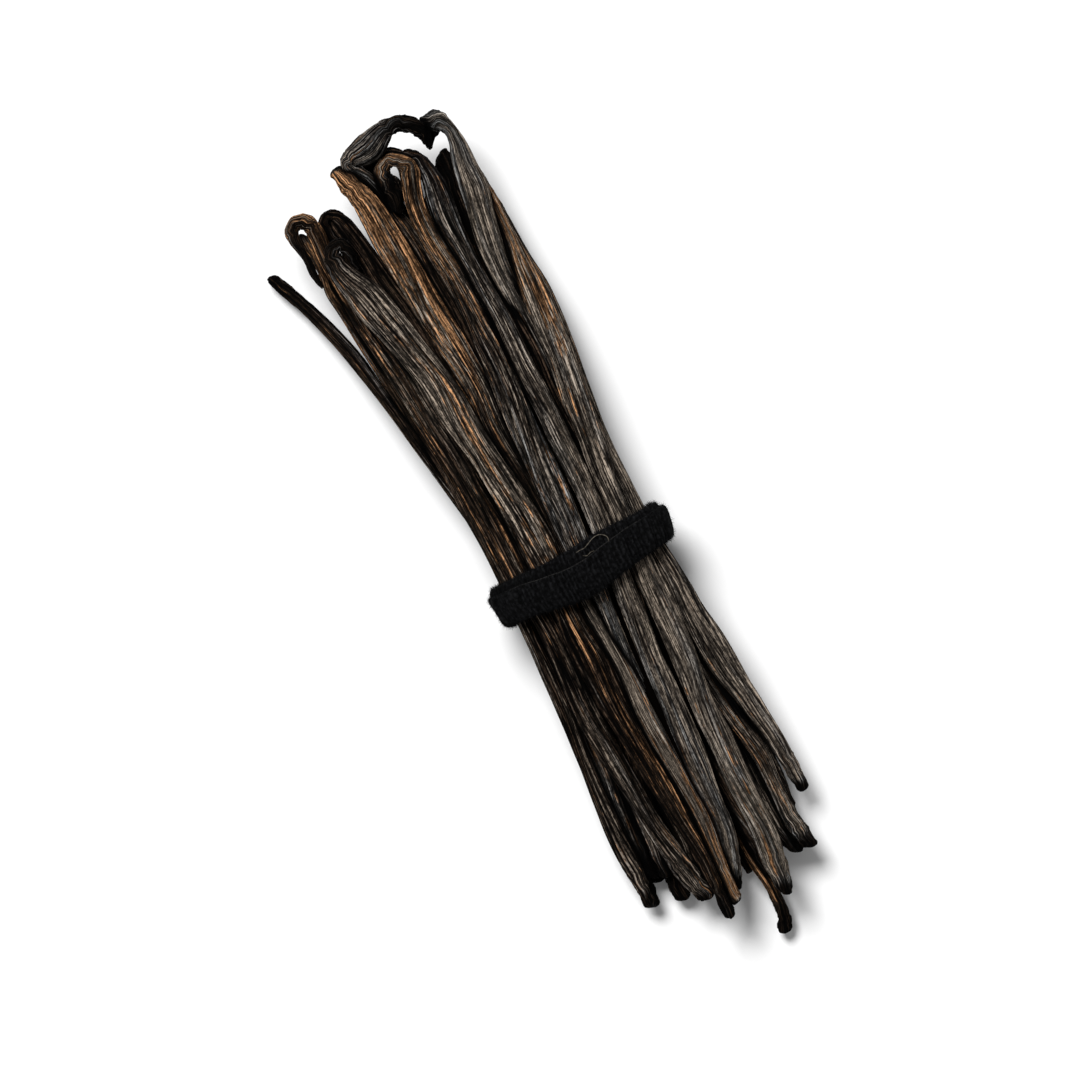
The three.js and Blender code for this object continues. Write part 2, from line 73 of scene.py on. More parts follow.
# Each pod has three heights: where it reaches furthest on the stem side, at the band, and where it
# reaches furthest on the blossom side. Then comes a row of stations from stem end to blossom end:
# (x, y, width), and how much higher (below 0, lower) the pod lies there than shown_pod's rule says.
POD_STATIONS = {
    "far_left": ((2.6, 11.5, 3.4), (
        (-29.8, 79.6, 1.9), (-28.7, 77, 2.3), (-25.9, 70, 2.6), (-22.8, 60, 2.9, 1),
        (-21, 50, 2.6, 3), (-19.3, 40, 2.4, 4), (-17.8, 30, 2.3, 2.5), (-16, 20, 2.8),
        (-13.8, 0, 3.2), (-14.6, -20, 3), (-15.5, -40, 3.8), (-15.7, -52, 4.1), (-15.6, -59, 3.8),
        (-15.6, -62.2, 3.2),
    )),
    "left_edge": ((8.5, 15.2, 4.6), (
        (-20.4, 84.1, 1.7, 1), (-20.4, 82.4, 2.1, 1), (-20.2, 79, 2, 0.8), (-20.2, 75, 2.3, 0.6),
        (-20.5, 71.5, 2.7, 0.2), (-20.2, 68, 2.7), (-19.8, 62, 2.4), (-18.9, 52, 2.1),
        (-17.6, 40, 2.3, -1), (-16.4, 30, 2.4), (-16.2, 20, 2.4), (-15.9, 10, 2.4), (-15.9, 0, 2.8),
        (-16.3, -8, 2.4), (-16.5, -15, 2.9), (-17, -25, 3.1), (-17.9, -35, 2.7), (-18.5, -45, 3.5),
        (-19, -54, 4.1), (-18.9, -60, 4.1), (-18.9, -64, 3.4), (-18.9, -66.3, 3.2),
    )),
    "left_hook": ((10.5, 18.4, 8), (
        (-21.6, 73.6, 0.8, 1.4), (-22, 76.4, 1.5, 1.4), (-21.9, 79.2, 1.5, 1.2),
        (-22.1, 82, 1.7, 1), (-22.3, 84.3, 2.3, 0.8), (-22, 86.2, 2.7, 0.8),
        (-20.9, 87.3, 2.8, 0.9), (-19.3, 87.2, 2.9, 1), (-18.1, 85.7, 3.1, 1),
        (-17.7, 83, 3.3, 0.9), (-18, 79, 3.3, 0.2), (-17.8, 72, 3.8, -1.5), (-17, 62, 4.6, -1.5),
        (-15.9, 52, 4.8, -0.5), (-14.9, 40, 4.7), (-13.5, 30, 4.6), (-12.8, 20, 4.7),
        (-12.5, 10, 4.8), (-12.3, 0, 4.8), (-12.1, -8, 4.6), (-12.6, -18, 4.5), (-12.9, -28, 5.2),
        (-12.5, -36, 4.8), (-12.1, -45, 3.8), (-11.6, -53, 3.6), (-10.4, -60, 4.2),
        (-9.5, -65, 4.6), (-8.8, -68.6, 4.4),
    )),
    "club": ((13.5, 20.2, 11.5), (
        (-13.4, 74.2, 1.4, -0.2), (-13.8, 76.2, 2.6, 0.3), (-13.9, 78.1, 2.7, 0.7),
        (-14.6, 79.4, 2.8, 1), (-15.8, 79.5, 2.9, 1), (-16.7, 78.5, 3.4, 0.9),
        (-16.9, 76.6, 3.9, 0.7), (-16.5, 74.4, 4.5, 0.4), (-15.8, 71.8, 5.5, 0.2), (-14.9, 69, 6.6),
        (-13.8, 64, 7.2), (-12.2, 58, 6.6), (-10.9, 51, 6.1), (-9.2, 40, 6.4), (-8.2, 30, 6),
        (-7.4, 20, 6.3), (-6.8, 10, 6.8), (-7.1, 0, 6.2), (-7.2, -8, 5.4), (-7.3, -16, 6.2),
        (-7.5, -25, 6.2), (-7.3, -34, 5), (-6.5, -44, 4.8), (-5.8, -52, 4.3), (-5.4, -60, 3.4),
        (-5.5, -67, 2.8), (-5.7, -72, 2.5), (-5.8, -74.7, 2.8),
    )),
    "left_curl": ((9.5, 15.5, 3.6), (
        (-14.9, 79.4, 1.8, -0.5), (-15.4, 81.4, 2.7, -0.4), (-15.6, 83.7, 2.8, -0.1),
        (-14.6, 85.4, 2.5, 0.3), (-13.1, 85.2, 2.8, 0.5), (-12.7, 83.2, 4, 0.3),
        (-12, 80, 4.3, 0.1), (-11.2, 76, 4.2), (-10.3, 70, 4.5), (-8.5, 60, 4.6), (-6.6, 40, 4.8),
        (-5.4, 20, 4.8), (-5, 0, 4.8), (-6.6, -20, 4.8), (-9.2, -40, 4.8), (-11.2, -54, 4.4),
        (-12.3, -63, 3.7), (-12.7, -67.4, 3.4),
    )),
    "rusty": ((13.8, 18.2, 11), (
        (-8.3, 92.4, 3.2, -0.5), (-7.5, 90.2, 4.5), (-6.7, 87.3, 4.8), (-5.9, 83.5, 5.5),
        (-5.4, 77, 6.4), (-4.8, 70, 6.4), (-4.4, 61, 6), (-3.8, 52, 5.7), (-3.2, 41, 5.2),
        (-3.3, 31, 4.6), (-3, 21, 4.2, -0.6), (-2.9, 10, 3.8, -1), (-3.1, 0, 4),
        (-3.4, -8, 3.4, 1.8), (-3.1, -15, 3.2, 1.6), (-2.7, -23, 3.3, 0.9), (-2.8, -32, 4.2, 0.8),
        (-2.7, -41, 4.1, 0.6), (-2.3, -49, 3.4, 0.8), (-2.2, -56, 3.6, 0.8), (-2.8, -62, 3.2, 0.6),
        (-3.2, -68, 2.9, 0.3), (-3.3, -73, 2.8),
    )),
    "arch": ((13.2, 15.5, 2.6), (
        (10.4, 90.2, 2.2, 0.3), (10.3, 92.1, 3.2, 0.8), (9.2, 94, 3.5, 1.4), (7.3, 95.6, 3.3, 1.8),
        (5, 96.2, 3.5, 2), (2.4, 95.6, 4.8, 2), (-0.3, 94.5, 5.9, 1.9), (-2.5, 94.1, 5.5, 1.7),
        (-4.3, 94, 4.3, 1.4), (-5.8, 93.5, 3, 1), (-6, 92.2, 3.1, 0.6), (-5.2, 90.6, 3.3, 0.2),
        (-4.1, 88.6, 3.5), (-3.1, 85.5, 3.4, -1), (-2.2, 80, 3.5, -3), (-1.1, 73, 4.4, -2.6),
        (-0.6, 60, 5, -1.5), (-0.2, 45, 5, -0.5), (0, 25, 4.8), (0.4, 0, 4.6), (0.9, -20, 4.4),
        (1.7, -40, 4.2), (2.4, -54, 3.7), (3, -63, 3.1), (3.4, -69, 2.7), (4, -74, 2.3),
        (4, -77.2, 2.5), (3.9, -79.6, 2.5), (3.6, -81.4, 2.6), (3, -83, 3),
    )),
    "folded_hook": ((13.5, 21, 8.5), (
        (-1, 80.8, 2.4, -1.3), (-0.5, 82.8, 4, -1.1), (-0.3, 85, 4.4, -0.8),
        (-0.7, 87.5, 3.9, -0.3), (0.1, 89.3, 3.3, 0.2), (1.9, 89.9, 2.9, 0.8),
        (3.4, 89.1, 2.9, 1.2), (4.1, 87.7, 3.8, 1.2), (4, 85.9, 4.4, 1), (3.4, 84, 4.1, 0.7),
        (2.8, 82, 4.1, 0.4), (2.4, 80, 4.1, 0.2), (2.1, 76, 4.1), (2.4, 70, 3.9), (3.1, 63, 4),
        (3.1, 56, 4.5), (2.7, 49, 5.3), (2.3, 40, 5.6), (1.6, 30, 5.9), (1.3, 20, 5.8),
        (0.6, 10, 5.5), (0.3, 0, 4.6), (0.1, -7, 3.4, 0.2), (-0.5, -14, 2.8, -0.2),
        (-0.9, -21, 2.6, -1.4), (-1.2, -30, 3, -3), (-1.6, -45, 3.4, -3), (-1.6, -58, 3.2, -2),
        (-1.4, -66, 2.6, -1),
    )),
    "ridged": ((12.5, 20.5, 10.5), (
        (-3.4, 88.2, 2.6, -1.8), (-2.6, 89.9, 3.4, -1.6), (-1.1, 91.4, 3.2, -1.4),
        (0.6, 91.9, 2.6, -0.9), (2, 91.7, 2.2, -0.5), (3.4, 90.9, 2.3), (4.7, 89.7, 2.3),
        (6.2, 88.9, 2.7), (7.1, 87.5, 3.1), (7.6, 85.3, 3.5), (7.8, 82.8, 4.2), (7.6, 79.5, 4.9),
        (7.1, 75, 4.9), (6.8, 68, 3.9), (6.9, 61, 3.5), (7.2, 53, 3.7), (7.1, 42, 4.1),
        (7.2, 31, 4.3), (7, 20, 4.1), (6.6, 10, 4), (5.8, 0, 4.2), (4.9, -8, 4.3), (4.4, -15, 4.4),
        (3.6, -23, 4.6), (2.9, -31, 4.8), (2.3, -40, 4.8), (1.7, -48, 4.4), (1.5, -55, 3.8),
        (0.9, -60.5, 3.8), (-0.2, -65, 3.3), (-1.2, -68.6, 2.7), (-1.8, -71.2, 2),
    )),
    "low_stub": ((8, 15, 2.4), (
        (11.3, 85.2, 3.9), (11.2, 82.6, 3.7), (10.8, 79, 3.4), (10.1, 73, 3.6), (9.5, 65, 3.9),
        (9, 55, 4.2), (9, 42, 4.2, 0.3), (8.9, 28, 4.2, 0.2), (8.5, 14, 4.2), (8.2, 0, 4.4),
        (6.4, -20, 4.4), (5.2, -40, 4.2, -0.6), (4.6, -54, 3.6, -1), (3.2, -62, 3.2, -0.6),
        (1.9, -66.4, 3, -0.2), (2, -69, 2.4),
    )),
    "big_hook": ((13.4, 13.2, 8), (
        (10.5, 88.6, 0.8, -2.4), (10.9, 89.9, 2.2, -1.6), (11.6, 91.3, 3.6, -0.8),
        (12.6, 92.5, 4.5), (13.9, 92.5, 4.1, 0.5), (14.9, 91.3, 3.3, 0.7), (15.5, 89.5, 2.9, 0.7),
        (15.5, 87.3, 3.5, 0.6), (15.1, 85, 4.3, 0.4), (14.7, 81.5, 5), (14.5, 77.5, 5.7),
        (13.7, 73, 5.5), (12.8, 67, 5.2), (12.1, 61, 4.8, -0.6), (11.8, 55, 4.3, -1.8),
        (11.8, 49, 4.3, -2.6), (11.8, 40, 4.4, -3), (11.2, 20, 4.6, -1.6), (10.2, 0, 4.6),
        (10.8, -20, 4.4), (12, -34, 4, -0.6), (13.1, -42, 3.8, 0.2), (14, -49, 3.6, 0.2),
        (13.8, -56, 3.2, 0.4), (13.7, -63, 3.5, 0.2), (14, -67, 3.9), (14.2, -69.4, 3.6),
    )),
    "right_pale": ((10.5, 18.6, 10.8), (
        (16.9, 79.2, 1.3), (16.8, 76.5, 1.8), (16.6, 72, 2.3), (16.5, 66, 2.8), (16.1, 60, 4),
        (15.9, 54, 5.3), (15.3, 46, 5.6), (14.3, 37, 5.4), (13.1, 28, 5.1), (11.9, 19, 4.8),
        (11.1, 10, 4.4), (10.5, 0, 4.6), (10.1, -8, 5), (9.7, -16, 5), (9.3, -25, 5), (8.8, -33, 5),
        (8.5, -42, 5.1), (7.9, -50, 5.3), (7.7, -57, 5), (7.6, -64, 4.9), (7.1, -69, 4.7),
        (6.7, -73, 3.7), (6.3, -76, 2.7),
    )),
    "right_edge": ((6.5, 15.8, 7.5), (
        (17, 75, 1.6), (17.2, 69, 2.2), (17.3, 60, 2.6), (17.8, 52, 3), (16.9, 41, 3.1),
        (15.7, 30, 2.9), (14.8, 20, 2.6), (14.7, 10, 2.5), (14.5, 0, 3), (14.8, -8, 3.8),
        (15.1, -16, 4.8), (15.5, -25, 5.8), (15.9, -33, 5.7), (16.9, -40, 5), (18, -46, 3.8),
        (18.4, -52, 3.3), (18.7, -56.5, 2.9), (18.6, -59.4, 2.3),
    )),
}


def shown_pod(heights, stations):
    """A shown pod's stations as (x, y, z, width). z goes by a power of the distance from the band."""
    stem, band, blossom = heights
    stem_reach = max(station[1] for station in stations)
    blossom_reach = min(station[1] for station in stations)
    pod = []
    for x, y, width, *higher in stations:
        end, reach = (stem, stem_reach) if y > 0 else (blossom, blossom_reach)
        z = band + (end - band) * (y / reach) ** HEIGHT_POWER + sum(higher)
        lowest = POD_FLATNESS / 2 * width + TABLE_GAP
        pod.append((x, y, round(max(z, lowest), 1), width))
    return tuple(pod)


SHOWN_PODS = {name: shown_pod(*pod) for name, pod in POD_STATIONS.items()}


UNDERSIDE_COUNT = 7
UNDERSIDE_FROM = 202     # degrees round the waist, seen from the blossom end
UNDERSIDE_TO = 338
INNER_COUNT = 5
INNER_HEIGHT = 10
INNER_SPREAD = 9.6       # of the outermost inner pods at the band, from its middle
INNER_DROOP = 4          # how much lower an inner pod's ends are
HIDDEN_WIDTH = 5.4
HIDDEN_STEPS = 5         # from the band to each end
HIDDEN_SPREAD = 0.24     # fan of a hidden pod, over its distance from the middle
FAN_POWER = 1.5          # how late a pod leaves the straight line that it starts on
TAPER = 0.25             # share of each half that narrows towards the end
END_HEIGHT = 2.3         # height at which the underside pods' ends lie on the table

TONE_PLACES = (-60, -20, 12, 45, 75, 92)     # in millimetres along the bundle, towards the stem ends


@dataclass(frozen=True)
class Tones:
    """How strong a pod's skin tones are at the tone places, from stem end to blossom end: 1 is full."""

    rust: tuple = (0.25,) * 6    # rust-brown skin
    film: tuple = (0.35,) * 6    # dry grey film, partly painted sheen
    cool: tuple = (0.3,) * 6     # how much of the film and painted sheen is blue-grey
    black: tuple = (8, 6)        # length of the two black ends, in millimetres


SHOWN_TONES = {
    "far_left": Tones((0, 0, 0, 0.05, 0.1, 0.1), (0.2, 0.1, 0.2, 0.15, 0.1, 0.2),
                      (0.9, 0.9, 0.9, 0.5, 0.5, 0.5), (18, 8)),
    "left_edge": Tones((0.8, 1.0, 0.5, 0.4, 0.1, 0.4), (0.1, 0.4, 0.0, 0.1, 0.2, 0.35),
                       (0.3, 0.2, 0.2, 0.2, 0.3, 0.3), (2, 5)),
    "left_hook": Tones((0.7, 0.8, 0.4, 0.5, 0.15, 0.35), (0.4, 0.1, 0.35, 0.1, 0.15, 0.45),
                       (0.3, 0.2, 0.2, 0.2, 0.3, 0.2), (14, 2.5)),
    "club": Tones((0.1, 0.3, 0.35, 0.5, 0.45, 0.45), (0.3, 0.4, 0.95, 0.5, 0.1, 0.0),
                  (0.6, 0.1, 0.05, 0.05, 0.1, 0.1), (15, 7)),
    "left_curl": Tones((0.2, 0.35, 0.4, 0.1, 0.1, 0.1), (0.1, 0.05, 0.0, 0.15, 0.15, 0.15),
                       (0.5, 0.3, 0.3, 0.3, 0.3, 0.3), (12, 8)),
    "rusty": Tones((1.3, 1.05, 0.7, 0.15, 0.25, 0.75), (0.5, 0.95, 0.65, 0.0, 1.3, 1.3),
                   (0.1, 0.1, 0.1, 0.1, 0.1, 0.1), (0.5, 1)),
    "arch": Tones((0.35, 0.45, 0.4, 0.05, 0.1, 0.75), (0.6, 0.4, 0.05, 0.1, 0.0, 0.1),
                  (0.5, 0.2, 0.3, 0.3, 0.3, 0.3), (14, 9)),
    "folded_hook": Tones((0.75, 0.75, 0.45, 0.3, 0.1, 0.1), (0.55, 0.45, 0.35, 0.65, 0.6, 0.3),
                         (0.2, 0.1, 0.25, 0.45, 0.4, 0.4), (10, 6)),
    "ridged": Tones((0.05, 0.05, 0.2, 0.15, 0.1, 0.2), (0.25, 0.4, 0.65, 0.7, 0.8, 1.2),
                    (0.7, 0.5, 0.15, 0.1, 0.25, 0.35), (14, 4)),
    "low_stub": Tones((0.1,) * 6, (0.0,) * 6, (0.4,) * 6, (12, 8)),
    "big_hook": Tones((0.1, 0.1, 0.2, 0.1, 0.2, 0.5), (1.0, 1.3, 0.75, 0.2, 0.5, 0.6),
                      (0.6, 0.25, 0.2, 0.3, 0.3, 0.3), (8, 4)),
    "right_pale": Tones((0.9, 1.25, 0.5, 0.2, 0.1, 0.4), (0.6, 1.25, 0.9, 0.7, 1.05, 1.15),
                        (0.1, 0.1, 0.1, 0.1, 0.15, 0.2), (3, 4)),
    "right_edge": Tones((0.5, 0.5, 0.25, 0.15, 0.1, 0.4), (0.4, 0.4, 0.6, 0.75, 0.9, 0.85),
                        (0.1, 0.1, 0.1, 0.1, 0.1, 0.2), (3, 3)),
}


def lehmer_draws(state=3691):
    """A repeatable stream of draws between low and high, the same as in the part's source."""
    def draw(low, high):
        nonlocal state
        state = (state * 16807) % 2147483647
        return low + (high - low) * state / 2147483647
    return draw


def smoothstep(value, low, high):
    """0 below low, 1 above high, and smooth between."""
    share = np.clip((value - low) / (high - low), 0, 1)
    return share * share * (3 - 2 * share)


def hidden_half(draw, lane, height, end_height, side, reach_from, reach_to):
    """Half of a hidden pod from the band to its end: side is 1 for the stem end, -1 for the other."""
    reach = draw(reach_from, reach_to)
    fan = (lane - WAIST_X) * HIDDEN_SPREAD + draw(-1.2, 1.2)
    bow = draw(-0.8, 0.8)
    droop = height - end_height - draw(0, 1)
    end = draw(2.4, 3.4)
    t = np.linspace(0, 1, HIDDEN_STEPS + 1)
    x = lane + fan * t**FAN_POWER + 4 * bow * t * (1 - t)
    z = height - droop * t**FAN_POWER
    width = HIDDEN_WIDTH + (end - HIDDEN_WIDTH) * smoothstep(t, 1 - TAPER, 1)
    return np.stack([x, side * reach * t, z, width], axis=1)


def hidden_pod(draw, lane, height, end_height):
    """A pod of the underside or the inside."""
    stem = hidden_half(draw, lane, height, end_height, 1, 70, 82)
    blossom = hidden_half(draw, lane, height, end_height, -1, 59, 70)
    return np.concatenate([stem[::-1], blossom[1:]])


def hidden_pods():
    """The underside pods and the inner pods, by the part's own rule."""
    draw = lehmer_draws()
    half_width = WAIST_HALF_WIDTH - HIDDEN_WIDTH / 2
    half_height = WAIST_HALF_HEIGHT - HIDDEN_WIDTH * POD_FLATNESS / 2
    underside = {}
    for angle in np.radians(np.linspace(UNDERSIDE_FROM, UNDERSIDE_TO, UNDERSIDE_COUNT)):
        height = WAIST_Z + half_height * math.sin(angle)
        end_height = END_HEIGHT + 0.5 * (height - (WAIST_Z - half_height))
        lane = WAIST_X + half_width * math.cos(angle)
        underside[f"under_{len(underside)}"] = hidden_pod(draw, lane, height, end_height)
    inner = {}
    for share in np.linspace(-1, 1, INNER_COUNT):
        lane = WAIST_X + INNER_SPREAD * share
        pod = hidden_pod(draw, lane, INNER_HEIGHT, INNER_HEIGHT - INNER_DROOP)
        inner[f"inner_{len(inner)}"] = pod
    return underside, inner


# ---- Settings ----


def colour_setting(name, description, default):
    """A colour among the settings."""
    return bpy.props.FloatVectorProperty(
        name=name, description=description, subtype="COLOR", default=default)


def length_setting(name, description, default):
    """A length among the settings."""
    return bpy.props.FloatProperty(name=name, description=description, unit="LENGTH", default=default)


class PodSettings(bpy.types.PropertyGroup):
    """Sizes and colours of the pods' skin."""

    fold_depth: bpy.props.FloatProperty(
        name="Fold Depth", description="Depth of the main folds, as a share of a pod's width",
        default=0.11, min=0, max=0.2)
    crease_depth: bpy.props.FloatProperty(
        name="Crease Depth", description="Depth of the fine creases, as a share of a pod's width",
        default=0.055, min=0, max=0.1)
    columns: bpy.props.IntProperty(
        name="Columns", description="Faces round a shown pod", default=128, min=24, max=200)
    row_length: length_setting("Row Length", "Length of a face along a shown pod", 1.0 * MM)
    # The dark colour fills the fold valleys as painted shade. It is mixed with the brown by how high on
    # a fold a place is.
    dark: colour_setting("Dark Skin", "Colour in the grooves", (0.0025, 0.0016, 0.0011))
    brown: colour_setting("Brown Skin", "Colour of the skin between grooves", (0.15, 0.096, 0.063))
    rust: colour_setting("Rust", "Colour of the rust-brown streaks", (0.88, 0.46, 0.22))
    # The film colours are partly the skin's dry grey film and partly painted sheen: the light off the
    # oily crests is put into the colour.
    film: colour_setting("Film", "Colour of the dry grey film on the crests", (0.57, 0.464, 0.364))
    cool_film_and_sheen: colour_setting(
        "Cool Film", "Colour of the film where it is blue-grey", (0.41, 0.41, 0.403))


class BandSettings(bpy.types.PropertyGroup):
    """Sizes and colours of the band."""

    width: length_setting("Width", "Width of the ribbon", 7 * MM)
    thickness: length_setting("Thickness", "Thickness of the ribbon", 2.1 * MM)
    nap_length: length_setting("Nap Length", "Length of the raised fibres", 0.75 * MM)
    nap_fibres: bpy.props.IntProperty(
        name="Nap Fibres", description="How many raised fibres", default=45000, min=1, max=49000)
    cloth: colour_setting("Cloth", "Colour of the ribbon", (0.0015, 0.0015, 0.0016))
    fibre: colour_setting("Fibre", "Colour of the raised fibres", (0.0095, 0.0097, 0.0105))


class StageSettings(bpy.types.PropertyGroup):
    """The floor, the light and the camera."""

    floor: colour_setting("Floor", "Colour of the floor", (0.86, 0.86, 0.86))
    key: bpy.props.FloatProperty(
        name="Key Light", description="Power of the large soft light", default=210.0, min=0)
    sky: bpy.props.FloatProperty(
        name="Sky", description="Strength of the even light all round", default=0.3, min=0)
    turn: bpy.props.FloatProperty(
        name="Turn", description="Turn of the bundle in the picture", subtype="ANGLE",
        default=math.radians(27))
    view_width: length_setting("View Width", "What the picture is wide, at the bundle", 216 * MM)
    distance: length_setting("Camera Distance", "Height of the camera over the table", 3.0)


# ---- Centre lines ----


def smooth_curve(rng, positions, wavelength):
    """A smooth random curve about 1 high, from three sine waves."""
    value = np.zeros_like(positions)
    for share in (1.0, 0.62, 0.38):
        length = wavelength * share * rng.uniform(0.8, 1.25)
        value += share * np.sin(2 * np.pi * positions / length + rng.uniform(0, 2 * np.pi))
    return value / 1.3


def unit_vectors(vectors):
    """Vectors made one long."""
    return vectors / np.linalg.norm(vectors, axis=1, keepdims=True)


def distances(places):
    """How far along the line each place is."""
    steps = np.linalg.norm(np.diff(places, axis=0), axis=1)
    return np.concatenate([[0], np.cumsum(steps)])


def spline(stations, pieces=10):
    """A smooth line through stations: a centripetal Catmull-Rom spline."""
    first, last = 2 * stations[0] - stations[1], 2 * stations[-1] - stations[-2]
    points = np.concatenate([[first], stations, [last]])
    steps = np.linalg.norm(np.diff(points[:, :3], axis=0), axis=1)
    knots = np.concatenate([[0], np.cumsum(steps**0.5)])
    line = []
    for i in range(len(stations) - 1):
        p, k = points[i:i + 4], knots[i:i + 4]
        t = np.linspace(k[1], k[2], pieces, endpoint=False)[:, None]
        a = [(k[j + 1] - t) / (k[j + 1] - k[j]) * p[j] + (t - k[j]) / (k[j + 1] - k[j]) * p[j + 1]
             for j in range(3)]
        b = [(k[j + 2] - t) / (k[j + 2] - k[j]) * a[j] + (t - k[j]) / (k[j + 2] - k[j]) * a[j + 1]
             for j in range(2)]
        line.append((k[2] - t) / (k[2] - k[1]) * b[0] + (t - k[1]) / (k[2] - k[1]) * b[1])
    return np.concatenate([*line, stations[-1:]])


def pod_line(stations, row_length):
    """A pod's places and widths from end to end, closer together where it bends, with round ends."""
    line = spline(np.asarray(stations, float))
    at = distances(line[:, :3])
    heading = np.unwrap(np.arctan2(*np.gradient(line[:, :2], axis=0).T[::-1]))
    bend = np.abs(np.gradient(heading, at))
    bend = np.convolve(np.pad(bend, 4, mode="edge"), np.full(9, 1 / 9), mode="valid")
    density = (1 + np.minimum(8 * bend, 1.6)) / row_length
    rows = np.concatenate([[0], np.cumsum((density[1:] + density[:-1]) / 2 * np.diff(at))])
    even = np.linspace(0, rows[-1], max(6, round(rows[-1])) + 1)
    line = np.column_stack([np.interp(even, rows, column) for column in line.T])
    caps = []
    for end, before in ((line[0], line[1]), (line[-1], line[-2])):
        ahead = (end - before)[:3] / np.linalg.norm((end - before)[:3])
        cap = [[*(end[:3] + ahead * CAP_LENGTH * end[3] * math.sin(angle)),
                end[3] * math.cos(angle) ** 0.7] for angle in np.radians(CAP_ANGLES)]
        caps.append(np.array(cap))
    line = np.concatenate([caps[0][::-1], line, caps[1]])
    return line[:, :3], line[:, 3]


def line_frames(places):
    """The directions across and over the line at each place."""
    along = unit_vectors(np.gradient(places, axis=0))
    across = unit_vectors(np.cross(along, UP))
    return across, np.cross(across, along)


def layout_offset(pods):
    """From the layout's origin, the middle of the band, to the frame's, in millimetres."""
    edges = []
    for stations in pods.values():
        places, widths = pod_line(stations, 2.0)
        across, _ = line_frames(places)
        edges += [places + across * widths[:, None] / 2, places - across * widths[:, None] / 2]
    edges = np.concatenate(edges)
    low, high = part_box("pods")
    middle = (np.array(low) + np.array(high)) / 2 / MM - (edges.min(0) + edges.max(0)) / 2
    return np.array([middle[0], middle[1], 0.0])


UNDER_PODS, INNER_PODS = hidden_pods()
ALL_PODS = {**SHOWN_PODS, **UNDER_PODS, **INNER_PODS}
OFFSET = layout_offset(ALL_PODS)
LINES = {name: pod_line(stations, 1.8) for name, stations in ALL_PODS.items()}

# ---- Pod shapes ----

FOLD_COUNTS = range(3, 8)        # waves round a pod that make up its main folds
CREASE_COUNTS = range(10, 18)    # and its fine creases
FOLD_WANDER = 0.8        # how far the waves wander round the pod, in radians
FULLNESS = 1.07          # makes up for what the folds take away
BAND_REACH = 9           # how far from its middle the band squeezes the pods, in millimetres
END_REACH = 14           # how far from its ends a pod is crumpled
BENDS = (0.06, 0.25)     # turn over a millimetre where a pod starts to crumple, and where it fully does
GAPS = (0.05, 1.7)       # to the next pod: where the painted shade between pods is darkest, and where it is gone
GAP_STEPS = (4, 6)       # rows and columns between the places where that gap is found


def fold_field(rng, along, angles, counts, wavelength, twist):
    """Lengthwise folds round a pod: 0 in the grooves and 1 on the crests."""
    wave = np.zeros((len(along), len(angles)))
    for count in counts:
        start = rng.uniform(0, 2 * np.pi)
        phase = start + FOLD_WANDER * smooth_curve(rng, along, wavelength) + count * twist
        strength = 1 + 0.6 * smooth_curve(rng, along, wavelength)
        wave += strength[:, None] * np.cos(count * angles[None] + phase[:, None])
    wave /= wave.std()
    return np.clip(np.abs(wave) / 1.25, 0, 1) ** 0.6


def lobes(rng, along, angles, count, height, wavelength, wander=1.0):
    """A few swells round a pod that wander round it along its length."""
    phase = rng.uniform(0, 2 * np.pi) + wander * smooth_curve(rng, along, wavelength)
    return height[:, None] * np.cos(count * angles[None] + phase[:, None])


def gaps_to_neighbours(name, surface):
    """How far each place on a pod's surface is from the nearest other pod, in millimetres."""
    stretch = np.array([1, 1, 1 / POD_FLATNESS])
    samples = surface.reshape(-1, 3) * stretch
    nearest = np.full(len(samples), 99.0)
    for other, (places, widths) in LINES.items():
        if other != name:
            away = np.linalg.norm(samples[:, None] - (places * stretch)[None], axis=2)
            nearest = np.minimum(nearest, (away - widths[None] / 2).min(axis=1))
    return nearest.reshape(surface.shape[:2])


def resampled(grid, rows, columns):
    """A coarse grid of values, whose columns go all the way round, drawn out to a finer one."""
    closed = np.concatenate([grid, grid[:, :1]], axis=1)
    last_row, last_column = closed.shape[0] - 1, closed.shape[1] - 1
    row, column = np.linspace(0, last_row, rows), np.linspace(0, last_column, columns)
    i = np.minimum(row.astype(int), last_row - 1)
    j = np.minimum(column.astype(int), last_column - 1)
    u, v = (row - i)[:, None], (column - j)[None]
    above = closed[i][:, j] * (1 - v) + closed[i][:, j + 1] * v
    below = closed[i + 1][:, j] * (1 - v) + closed[i + 1][:, j + 1] * v
    return above * (1 - u) + below * u


class PodCourse:
    """The line that a pod's skin follows, row by row from stem end to blossom end, in millimetres.

    free is 0 where the band squeezes the pod and 1 away from it, body 0 where the pod is thin or
    squeezed, near_end 1 at the ends, and bend 1 where the pod turns sharply.
    """

    def __init__(self, name, row_length, rng):
        places, widths = pod_line(ALL_PODS[name], row_length / MM)
        self.along = distances(places)
        self.to_ends = (self.along, self.along[-1] - self.along)
        self.free = 1 - np.exp(-((places[:, 1] / BAND_REACH) ** 2))
        self.body = smoothstep(widths, 2.0, 4.5) * self.free
        self.across, self.over = line_frames(places)
        for direction, wavelength in ((self.across, 45), (self.over, 60)):
            sway = 0.2 * self.body * smooth_curve(rng, self.along, wavelength)
            places = places + direction * sway[:, None]
        self.places = places
        self.widths = widths * (1 + 0.03 * self.free * smooth_curve(rng, self.along, 25))
        self.near_end = 1 - smoothstep(np.minimum(*self.to_ends), 1, END_REACH)
        heading = np.unwrap(np.arctan2(self.across[:, 1], self.across[:, 0]))
        self.bend = smoothstep(np.abs(np.gradient(heading, self.along)), *BENDS)


